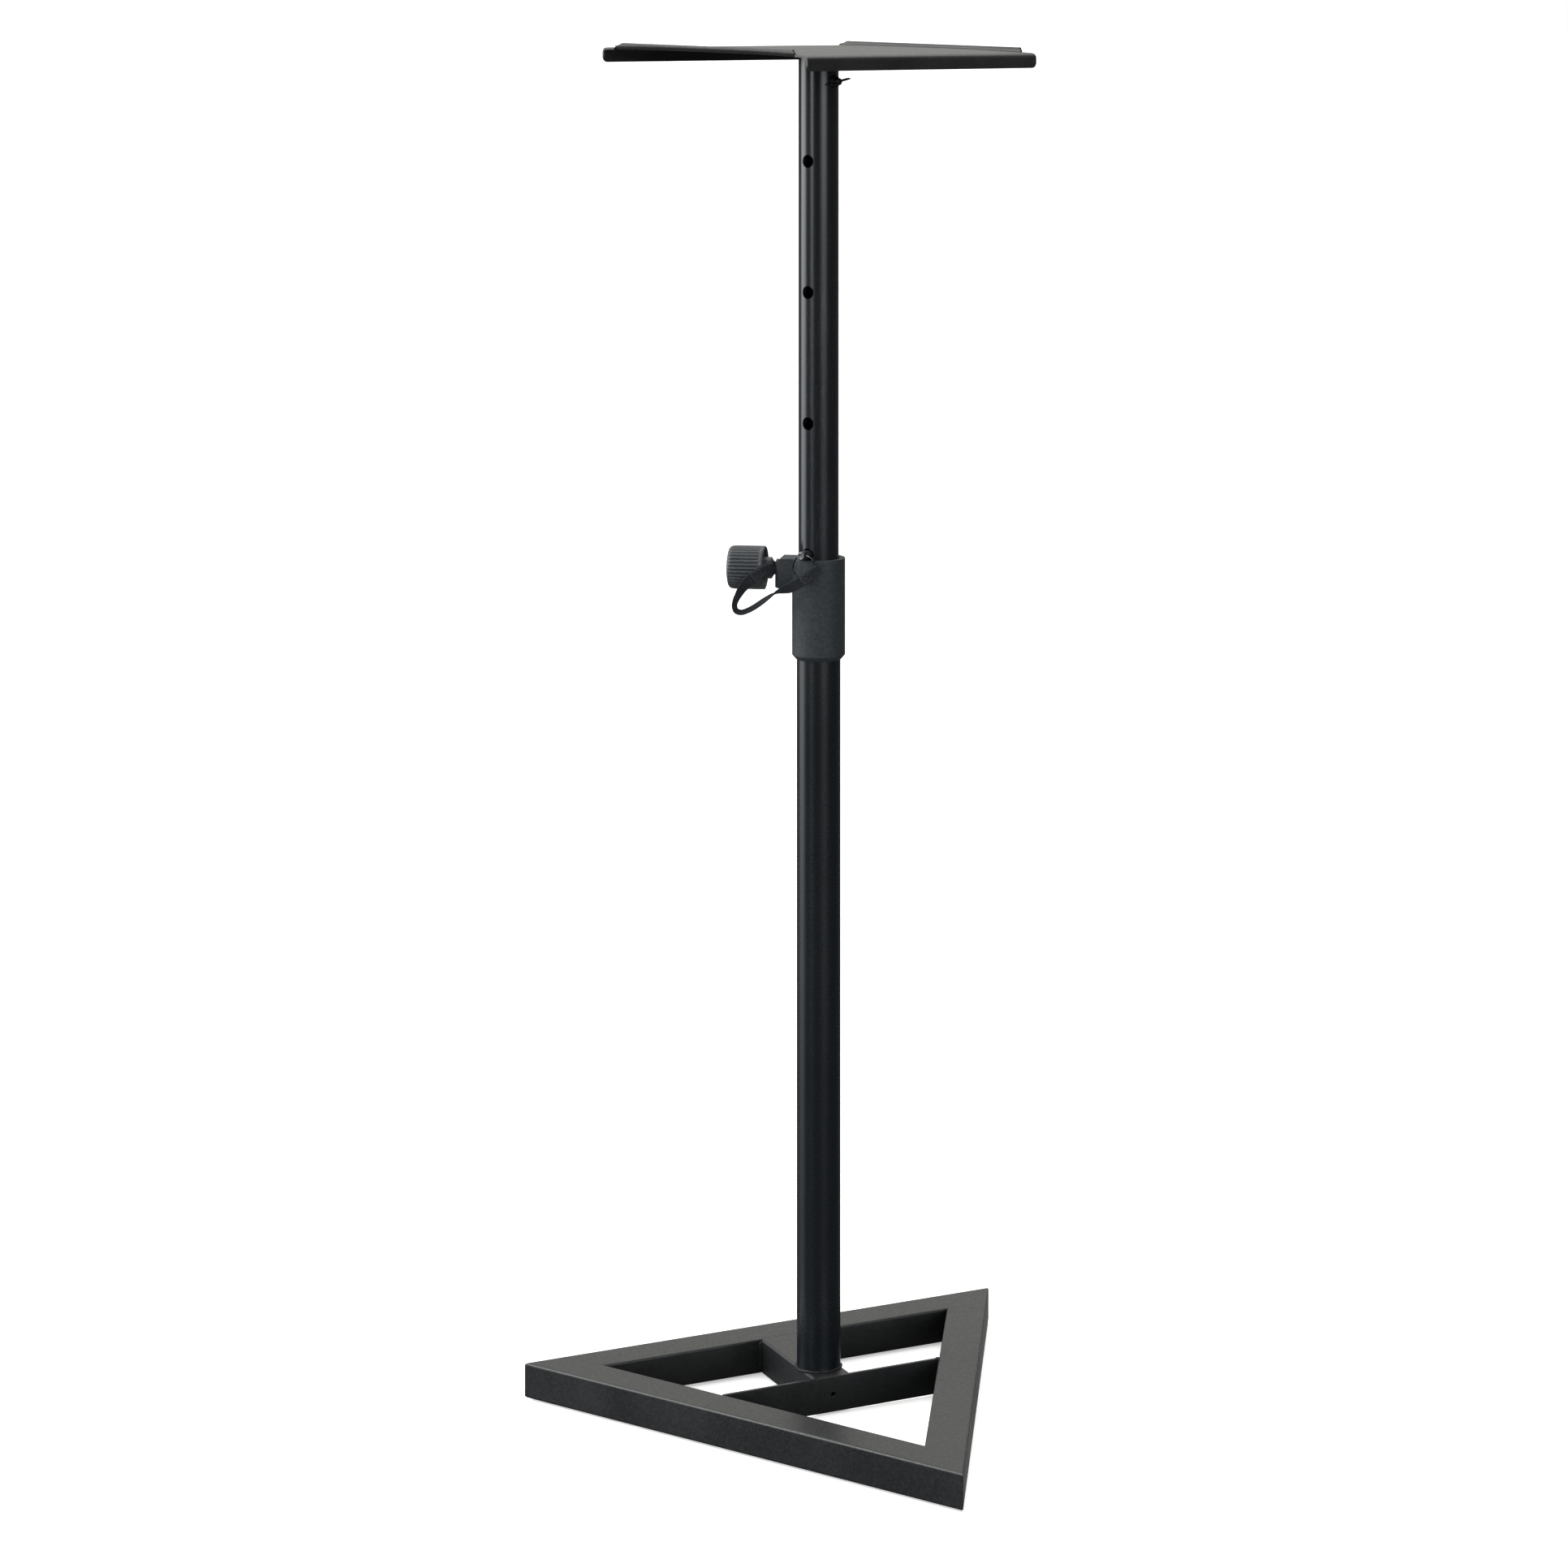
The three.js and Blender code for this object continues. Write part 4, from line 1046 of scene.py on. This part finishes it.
def ring_w(s):
    k = smooth((s - (s_wire - 7.0)) / 6.0)
    return BAND * (1 - k) + 7.0 * k


# 1. the sewn end in front of the band at the knob, going in to the hub
idx = [i for i in range(len(C)) if S[i] <= FOLD_A]
for i in idx[::-1]:
    fork = smooth(1 - S[i] / 2.2)
    add(C[i] - Nm[i] * (HALF + 0.15 * fork), Wm[i], 0, wide_at(S[i]))
first_end = len(pos)
# 2. once round the hub
RH = 5.0
a_t = math.acos(RH / 8.3)
start, stop = a_t, 2 * math.pi - a_t
cz = 0.0
p_in = local(37.9, RH * math.cos(a_t), RH * math.sin(a_t) + cz)
gap = np.linalg.norm(p_in - pos[-1])
n = max(3, int(gap / DS))
a0 = pos[-1].copy()
for k in range(1, n):
    t = k / n
    sag = 0.25 * math.sin(math.pi * t)
    add(a0 * (1 - t) + p_in * t, ER, 0, GATHER)
n = int(RH * (stop - start) / DS)
for k in range(n + 1):
    a = start + (stop - start) * k / n
    add(local(37.9, RH * math.cos(a), RH * math.sin(a) + cz), ER, 0, GATHER)
p_out = pos[-1].copy()
b0 = C[0] + Nm[0] * (HALF + 0.15)
n = max(3, int(np.linalg.norm(p_out - b0) / DS))
for k in range(1, n):
    t = k / n
    add(p_out * (1 - t) + b0 * t, ER, 0, GATHER)
# 3. the main band out and round to the ring, behind the folded ends
for i in range(len(C)):
    if S[i] > s_wire + 2.4 - 0.2:
        break
    a, b = ease_band(S[i])
    fork = smooth(1 - S[i] / 2.2)
    o = a * (HALF + 0.15 * fork) - b * spread(S[i])
    k = smooth((S[i] - (s_wire - 4.0)) / 4.0)
    add(C[i] + Nm[i] * o, Wm[i], -T[-1] * k, wide_at(S[i]) if S[i] < LEN / 2 else ring_w(S[i]))
# 4. round the ring's wire and back in front, to the sewn end
cE, tE, wE, nE = C[-1], T[-1], Wm[-1], Nm[-1]
n = int(math.pi * EYE / (DS * 0.8))
for k in range(1, n):
    a = -math.pi / 2 + math.pi * k / n
    add(cE + tE * (EYE * math.cos(a)) * 0.85 + nE * (EYE * math.sin(a)), wE, -tE, 7.0)
for i in range(len(C) - 1, -1, -1):
    if S[i] < FOLD_B:
        break
    k = smooth((S[i] - (s_wire - 4.0)) / 4.0)
    add(C[i] + Nm[i] * spread(S[i]), Wm[i], -T[-1] * k, ring_w(S[i]))

pos, wid, bow, width = np.array(pos), np.array(wid), np.array(bow), np.array(width)
for _ in range(3):                                   # soften the joins
    pos[1:-1] = 0.25 * pos[:-2] + 0.5 * pos[1:-1] + 0.25 * pos[2:]
for _ in range(6):
    wid[1:-1] = 0.25 * wid[:-2] + 0.5 * wid[1:-1] + 0.25 * wid[2:]
tan = np.gradient(pos, axis=0)
tan /= np.linalg.norm(tan, axis=1)[:, None]
wid = wid - tan * np.sum(wid * tan, 1)[:, None]
wid /= np.linalg.norm(wid, axis=1)[:, None]
nor = np.cross(tan, wid)
run = np.concatenate([[0], np.cumsum(np.linalg.norm(np.diff(pos, axis=0), axis=1))])

COLS = 30
verts, faces, al, ac = [], [], [], []
ring_n = 2 * COLS
for i in range(len(pos)):
    s = run[i]
    tip_f = 1.0
    edge = min(s, run[-1] - s)
    hw = width[i] / 2
    tt = THICK / 2
    melt = 1.0 - smooth(edge / 0.9)                  # heat-sealed ends
    for side in (1, -1):
        for k in range(COLS):
            x = -math.cos(math.pi * k / (COLS - 1)) if False else -1 + 2 * k / (COLS - 1)
            if side < 0:
                x = -x
            vv = x * hw
            prof_t = (1 - abs(x) ** 14) ** 0.5 if abs(x) < 1 else 0.0
            rib = math.cos(2 * math.pi * (s + 0.25 * vv) / 1.6 + (math.pi if side < 0 else 0))
            yarn = math.cos(2 * math.pi * vv / 1.16)
            h = tt * (0.30 + 0.70 * prof_t) + (0.12 * rib + 0.06 * rib * yarn) * prof_t * (1 - melt)
            h -= 0.22 * melt
            g = max(0.0, min(1.0, (BAND - width[i]) / (BAND - GATHER))) if run[i] < LEN else 0.0
            flute = 0.05 * math.sin(2 * math.pi * s / 1.6) * (abs(x) > 0.97)
            fold = 0.42 * g * math.sin(3.0 * math.pi * x + 0.6)
            p = pos[i] + wid[i] * (vv + math.copysign(flute, vv)) + nor[i] * (side * h * (1 - 0.25 * g) + fold) + bow[i] * (vv * vv / (2 * RING_R))
            verts.append(p)
            al.append(s)
            ac.append(vv)
for i in range(len(pos) - 1):
    a, b = i * ring_n, (i + 1) * ring_n
    for k in range(ring_n):
        faces.append((a + k, a + (k + 1) % ring_n, b + (k + 1) % ring_n, b + k))
faces.append(tuple(range(ring_n))[::-1])
last = (len(pos) - 1) * ring_n
faces.append(tuple(last + k for k in range(ring_n)))
strap = mesh_of("lanyard_webbing", verts, faces)
strap.data.attributes.new("along", "FLOAT", "POINT").data.foreach_set("value", np.array(al, np.float32))
strap.data.attributes.new("across", "FLOAT", "POINT").data.foreach_set("value", np.array(ac, np.float32))
tidy(strap, 75, 1e-9)
START, END = tuple(to_m([(-36.05, 13.90, 723.00)])[0]), tuple(to_m([(-24.44, -21.80, 723.48)])[0])
strap.data.materials.append(M_WEB)
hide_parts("strap")
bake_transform(strap)


# sewing: short raised stitches on the outer layer at both ends
def stitch(p0, p1, n, r=0.17):
    """One thread loop, sunk at both ends."""
    p0, p1, n = map(lambda q: np.array(q, float), (p0, p1, n))
    d = p1 - p0
    ln = np.linalg.norm(d)
    d /= ln
    u = np.cross(d, n)
    verts, faces, rows = [], [], []
    m, seg = 9, 7
    for i in range(m):
        t = i / (m - 1)
        c = p0 + d * ln * t + n * (0.30 * math.sin(math.pi * t) - 0.16)
        rows.append(len(verts))
        for k in range(seg):
            a = 2 * math.pi * k / seg
            verts.append(c + (u * math.cos(a) + n * math.sin(a)) * r)
    for i in range(m - 1):
        for k in range(seg):
            faces.append((rows[i] + k, rows[i] + (k + 1) % seg, rows[i + 1] + (k + 1) % seg, rows[i + 1] + k))
    for i in (0, m - 1):
        c = len(verts)
        verts.append(np.mean([verts[rows[i] + k] for k in range(seg)], 0))
        for k in range(seg):
            faces.append((rows[i] + k, rows[i] + (k + 1) % seg, c))
    return np.array(verts), faces


def surface(s, x, sgn, lay):
    """A point on the outer layer: s along the middle line, x across."""
    i = min(len(C) - 1, int(np.searchsorted(S, s)))
    return C[i] + Nm[i] * sgn * (lay + THICK / 2 + 0.07) + Wm[i] * x, Nm[i] * sgn


stitches = []


def seam(points, sgn, lay):
    """Stitches along a polyline in (s, x)."""
    pts = [np.array(p, float) for p in points]
    for a, b in zip(pts, pts[1:]):
        ln = np.linalg.norm(b - a)
        n = max(1, int(round(ln / 1.35)))
        for k in range(n):
            q0 = a + (b - a) * ((k + 0.10) / n)
            q1 = a + (b - a) * ((k + 0.84) / n)
            p0, n0 = surface(q0[0], q0[1], sgn, lay)
            p1, n1 = surface(q1[0], q1[1], sgn, lay)
            stitches.append(stitch(p0, p1, (n0 + n1) / 2))


for lo_s, hi_s, sgn, w in ((FOLD_B + 1.1, s_spread0 - 0.2, 1, 3.3), (8.2, FOLD_A - 1.2, -1, 3.2)):
    seam([(lo_s, -w), (hi_s, -w), (hi_s, w), (lo_s, w), (lo_s, -w)], sgn, HALF)
    if sgn > 0:
        seam([(lo_s, -w), (hi_s, w)], sgn, HALF + 0.12)
        seam([(lo_s, w), (hi_s, -w)], sgn, HALF + 0.12)
        for k in (1, 2):
            seam([(lo_s + 0.8 * k, -w), (lo_s + 0.8 * k, w)], sgn, HALF + 0.03)
    else:
        mid = (lo_s + hi_s) / 2
        seam([(mid, -w), (mid, w)], sgn, HALF + 0.03)
ob = mesh_of("lanyard_stitching", *join(*stitches))
tidy(ob, 80, 1e-9)
ob.data.materials.append(M_THREAD)
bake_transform(ob)


# ------------------------------------------------------------------ platform
def plate():
    R, RI, e, cut_w = 4.5, 1.5, 118.5, 1.3
    zf = EDGE_Z - 12.8

    def top(y):
        s = max(0.0, (abs(y) - 45.0) / (PLATE_B - 45.0))
        return EDGE_Z + CROWN * (1 - s * s)

    # half section from the middle to the foot of the flange: (y, z)
    half = []
    for y in np.linspace(0, 45, 7):
        half.append((y, top(y)))
    for y in np.linspace(45, e, 15)[1:]:
        half.append((y, top(y)))
    half.append((e + cut_w, top(e + cut_w)))
    for y in np.linspace(e + cut_w, PLATE_B - R - 3.0, 4)[1:]:
        half.append((y, top(y)))
    zs = EDGE_Z
    for k in range(9):
        t = rad(90 * k / 8)
        half.append((PLATE_B - R + R * math.sin(t), zs - R + R * math.cos(t)))
    for h in (6.6, 5.0, 4.2, 3.3, 2.5, 1.8, 1.2, 0.7, 0.35, 0.12, 0.0):
        half.append((PLATE_B, zf + h))
    sect = [(-y, z) for y, z in half[::-1]] + half[1:]
    xs = list(np.linspace(0, 118, 15)) + [123.5, 126.2, 128.0, 128.6, 129.6, 130.6, PLATE_A]
    xs = [-x for x in xs[::-1]] + xs[1:]
    ix = {round(x, 4): i for i, x in enumerate(xs)}
    ny, nx = len(sect), len(xs)
    verts, faces, at = [], [], {}

    def vid(key, p):
        if key not in at:
            at[key] = len(verts)
            verts.append(p)
        return at[key]

    def x_clamped(x, z):
        h = z - zf
        if h >= 5.0 or abs(x) < 110:
            return x
        lim = PLATE_A - (5.0 - math.sqrt(max(0.0, 25.0 - (5.0 - h) ** 2)))
        k = (abs(x) - 110) / (PLATE_A - 110)
        return math.copysign(110 + (lim - 110) * k, x)

    def main(i, j):
        y, z = sect[i]
        x = x_clamped(xs[j], z) if abs(y) >= PLATE_B - 0.01 else xs[j]
        return vid(("m", i, j), (x, y, z))

    for i in range(ny - 1):
        y0, y1 = sect[i][0], sect[i + 1][0]
        ym = (y0 + y1) / 2
        for j in range(nx - 1):
            xm = abs(xs[j] + xs[j + 1]) / 2
            if abs(ym) < e and xm > 128.0:
                continue                               # the lip takes over here
            if e < abs(ym) < e + cut_w and xm > 126.2:
                continue                               # relief cut at the end of the lip
            faces.append((main(i, j), main(i, j + 1), main(i + 1, j + 1), main(i + 1, j)))
    # lips
    rows_n = [i for i in range(ny) if abs(sect[i][0]) <= e + 1e-6 and abs(sect[i][1] - top(sect[i][0])) < 1e-6]
    ztop = EDGE_Z + 4.6
    for sgn in (-1, 1):
        j0 = ix[round(sgn * 128.0, 4)]
        prev = None
        prof = [(128.0 + RI * math.sin(rad(a)), RI - RI * math.cos(rad(a)), None) for a in (0, 18, 36, 54, 72, 90)]
        levels = [None] * 6 + [0.0, 0.25, 0.5, 0.75, 1.0]
        for li, lev in enumerate(levels):
            cur = []
            for i in rows_n:
                y, z = sect[i]
                if li < 6:
                    x, dz = prof[li][0], prof[li][1]
                    p = (sgn * x, y, z + dz)
                else:
                    z0 = z + RI
                    zz = z0 + (ztop - z0) * lev
                    over = max(0.0, zz - (EDGE_Z + 0.9))
                    lim = e - over * (2.7 if y > 0 else 0.45)       # one end is drawn out long, the other is nearly square
                    yy = y * lim / e
                    p = (sgn * (128.0 + RI), yy, zz)
                key = ("m", i, j0) if li == 0 else ("l", sgn, li if li < 6 else li - 1, i)
                cur.append(vid(key, p))
            if prev is not None and li != 6:
                for k in range(len(cur) - 1):
                    q = (prev[k], prev[k + 1], cur[k + 1], cur[k])
                    if len(set(q)) == 4:
                        faces.append(q)
            prev = cur
    v = np.array(verts, float)
    a = rad(PLATE_TURN)
    x, y = v[:, 0] * math.cos(a) - v[:, 1] * math.sin(a), v[:, 0] * math.sin(a) + v[:, 1] * math.cos(a)
    # the real platform sits a little out of level on its spigot
    xr = x * XH[0] + y * XH[1]
    yr = x * YH[0] + y * YH[1]
    v = np.column_stack([x, y, v[:, 2] - 0.0118 * xr + 0.0016 * yr])
    ob = mesh_of("platform_pressing", v, faces)
    tidy(ob, 60, 1e-7)
    # outward is up on the sheet
    me = ob.data
    big = max(me.polygons, key=lambda p: p.area)
    if big.normal.z < 0:
        me.flip_normals()
    m = ob.modifiers.new("sheet", "SOLIDIFY")
    m.thickness, m.offset, m.use_even_offset, m.use_rim = 0.002, -1.0, True, True
    baked(ob)
    tidy(ob, 40)
    bevel(ob, 0.35, 2, 50)
    return weighted(tidy(ob, 40))


piece(plate(), "platform", M_PLATE, "black_painted_steel", "platform_plate")

# weld ring where the spigot meets the underside of the plate
loop = [(16.0 * math.cos(2 * math.pi * k / 150), 16.0 * math.sin(2 * math.pi * k / 150), EDGE_Z + CROWN - 2.0 - 0.4) for k in range(150)]
ob = mesh_of("platform_weld", *bead(loop, 1.2, True, 2.4, 17))
piece(tidy(ob, 80), "platform", M_WELD, "black_painted_steel")

# ------------------------------------------------------------------ CAD nodes that stay
for node, mat in (
    ("platform_spigot", M_WELD), ("collar_guide_bush", M_BUSH), ("clamp_thread_insert", M_BRASS), ("clamp_pad", M_PLUG), ("upper_tube_end_plug", M_PLUG),
    ("foot_pad_front", M_RUBBER), ("foot_pad_rear_left", M_RUBBER), ("foot_pad_rear_right", M_RUBBER),
):
    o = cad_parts[node]
    o.data.materials.clear()
    o.data.materials.append(mat)
    for p in o.data.polygons:
        p.use_smooth = True
    m = o.modifiers.new("edges", "BEVEL")
    m.width, m.segments, m.limit_method, m.angle_limit = 0.0002, 2, "ANGLE", rad(40)
    m = o.modifiers.new("normals", "WEIGHTED_NORMAL")
    m.keep_sharp = True

# ------------------------------------------------------------------ floor
me = bpy.data.meshes.new("floor")
n = 64
vs = [(0, 0, -0.0002)] + [(60 * math.cos(2 * math.pi * k / n), 60 * math.sin(2 * math.pi * k / n), -0.0002) for k in range(n)]
me.from_pydata(vs, [], [(0, 1 + k, 1 + (k + 1) % n) for k in range(n)])
floor = bpy.data.objects.new("floor", me)
bpy.context.scene.collection.objects.link(floor)
t = Tree("pale_floor")
lp = t.put("ShaderNodeLightPath")
gl = t.noise(3.0, 2.0, 0.5)
t.end(Base__Color=t.mix(t.range(gl, 0.3, 0.7, 0.0, 1.0), col(0.80, 0.80, 0.79), col(0.83, 0.83, 0.82)), Roughness=0.85, Specular__IOR__Level=0.2)
em = t.put("ShaderNodeEmission", Color=col(1.0, 1.0, 1.0), Strength=0.50)
addn = t.t.nodes.new("ShaderNodeAddShader")
t.t.links.new(t.b.outputs[0], addn.inputs[0])
t.t.links.new(em.outputs[0], addn.inputs[1])
dim = t.put("ShaderNodeBsdfDiffuse", Color=col(0.22, 0.22, 0.22))
mixn = t.t.nodes.new("ShaderNodeMixShader")
t.t.links.new(lp.outputs["Is Camera Ray"], mixn.inputs[0])
t.t.links.new(dim.outputs[0], mixn.inputs[1])
t.t.links.new(addn.outputs[0], mixn.inputs[2])
t.t.links.new(mixn.outputs[0], t.out.inputs[0])
floor.data.materials.append(t.mat)
floor.visible_glossy = False

# ------------------------------------------------------------------ studio: soft panels as a world, plus two soft lamps
scene = bpy.context.scene
world = bpy.data.worlds.new("studio")
scene.world = world
world.use_nodes = True
wt = world.node_tree
wt.nodes.clear()


def wn(kind, **kw):
    nd = wt.nodes.new(kind)
    for k, v in kw.items():
        if k.startswith("_"):
            setattr(nd, k[1:], v)
        else:
            sock = nd.inputs[int(k[1:])]
            if isinstance(v, bpy.types.NodeSocket):
                wt.links.new(v, sock)
            else:
                sock.default_value = v
    return nd


def wm(op, a, b=0.0, c=0.0):
    return wn("ShaderNodeMath", _operation=op, i0=a, i1=b, i2=c).outputs[0]


dirv = wn("ShaderNodeTexCoord").outputs["Generated"]


def dot(vec):
    return wn("ShaderNodeVectorMath", _operation="DOT_PRODUCT", i0=dirv, i1=tuple(vec)).outputs["Value"]


front, right, up = dot(-YH), dot(XH), dot(ZH)
phi = wm("ARCTAN2", right, front)                    # 0 towards the camera, positive to the right
elev = wm("ARCSINE", up)


def smooth_step(v, a, b, c, d):
    nd = wn("ShaderNodeMapRange", i0=v)
    nd.interpolation_type = "SMOOTHSTEP"
    for k, x in ((1, a), (2, b), (3, c), (4, d)):
        nd.inputs[k].default_value = x
    return nd.outputs[0]


def panel(centre, half, soft, amp, low, high, floor_amp=0.0, lowsoft=14.0):
    """A soft vertical panel: azimuth centre and half width, softness, strength, and its elevation band, in degrees."""
    d = wm("ABSOLUTE", wm("WRAP", wm("SUBTRACT", phi, rad(centre)), math.pi, -math.pi))
    a = smooth_step(d, rad(half), rad(half + soft), 1.0, 0.0)
    lo = smooth_step(elev, rad(low - lowsoft), rad(low), floor_amp, 1.0)
    hi = smooth_step(elev, rad(high), rad(high + 20), 1.0, 0.0)
    return wm("MULTIPLY", wm("MULTIPLY", a, amp), wm("MULTIPLY", lo, hi))


total = wm("ADD", panel(-97, 9, 17, 5.4, 0, 52, 0.03, 16.0), panel(-37, 2.5, 7, 7.4, 1, 14, 0.0, 6.0))
total = wm("ADD", total, panel(31, 7, 15, 6.2, 1, 12, 0.0, 4.0))
total = wm("ADD", total, panel(174, 8, 8, 0.45, -75, -10))
total = wm("ADD", total, smooth_step(elev, rad(-50), rad(10), 0.06, 0.08))
back = wm("ADD", panel(182, 34, 28, 0.70, 3, 60, 0.05, 3.0), smooth_step(elev, rad(30), rad(75), 0.0, 0.72))
cool = wn("ShaderNodeBackground", i0=(0.965, 0.99, 1.0, 1.0), i1=total)
warm = wn("ShaderNodeBackground", i0=(1.0, 0.985, 0.935, 1.0), i1=back)
bgc = wt.nodes.new("ShaderNodeAddShader")
wt.links.new(cool.outputs[0], bgc.inputs[0])
wt.links.new(warm.outputs[0], bgc.inputs[1])
cam_bg = wn("ShaderNodeBackground", i0=(1.0, 1.0, 1.0, 1.0), i1=1.0)
wlp = wn("ShaderNodeLightPath")
wmix = wt.nodes.new("ShaderNodeMixShader")
wt.links.new(wlp.outputs["Is Camera Ray"], wmix.inputs[0])
wt.links.new(bgc.outputs[0], wmix.inputs[1])
wt.links.new(cam_bg.outputs[0], wmix.inputs[2])
wo = wt.nodes.new("ShaderNodeOutputWorld")
wt.links.new(wmix.outputs[0], wo.inputs[0])


def lamp(name, phi_deg, dist_m, z, size, size_y, power, target_z=0.6, spec=0.0):
    d = bpy.data.lights.new(name, "AREA")
    d.shape, d.size, d.size_y, d.energy = "RECTANGLE", size, size_y, power
    d.specular_factor = spec
    o = bpy.data.objects.new(name, d)
    scene.collection.objects.link(o)
    a = rad(phi_deg)
    p = (-YH * math.cos(a) + XH * math.sin(a)) * dist_m
    o.location = Vector((p[0], p[1] + PY / 1000, z))
    o.rotation_euler = (Vector((0, PY / 1000, target_z)) - o.location).to_track_quat("-Z", "Y").to_euler()
    return o


lamp("key_left", -70, 3.0, 2.4, 1.4, 1.8, 60.0)
lamp("top_soft", 150, 0.6, 3.4, 2.2, 2.2, 55.0, 0.0)

# ------------------------------------------------------------------ camera
CAM = (-1.4693, -3.0975, 1.2561)
cd = bpy.data.cameras.new("camera")
cam = bpy.data.objects.new("camera", cd)
scene.collection.objects.link(cam)
cam.location = CAM
cam.rotation_euler = (math.pi / 2, 0, -VIEW)
cd.sensor_width = 36.0
cd.lens = 91.87
cd.clip_start, cd.clip_end = 0.05, 200.0
scene.camera = cam


def shift(path, value):
    """The lens shift belongs to the first view only, so it switches off when the camera is moved."""
    dr = cd.driver_add(path).driver
    dr.type = "SCRIPTED"
    var = dr.variables.new()
    var.name = "ly"
    var.type = "TRANSFORMS"
    var.targets[0].id = cam
    var.targets[0].transform_type = "LOC_Y"
    var.targets[0].transform_space = "WORLD_SPACE"
    dr.expression = "%.4f if abs(ly + %.4f) < 0.002 else 0.0" % (value, -CAM[1])


shift("shift_x", -0.0602)
shift("shift_y", -0.5276)
scene.view_settings.view_transform = "Standard"
scene.view_settings.look = "None"
bpy.context.view_layer.update()
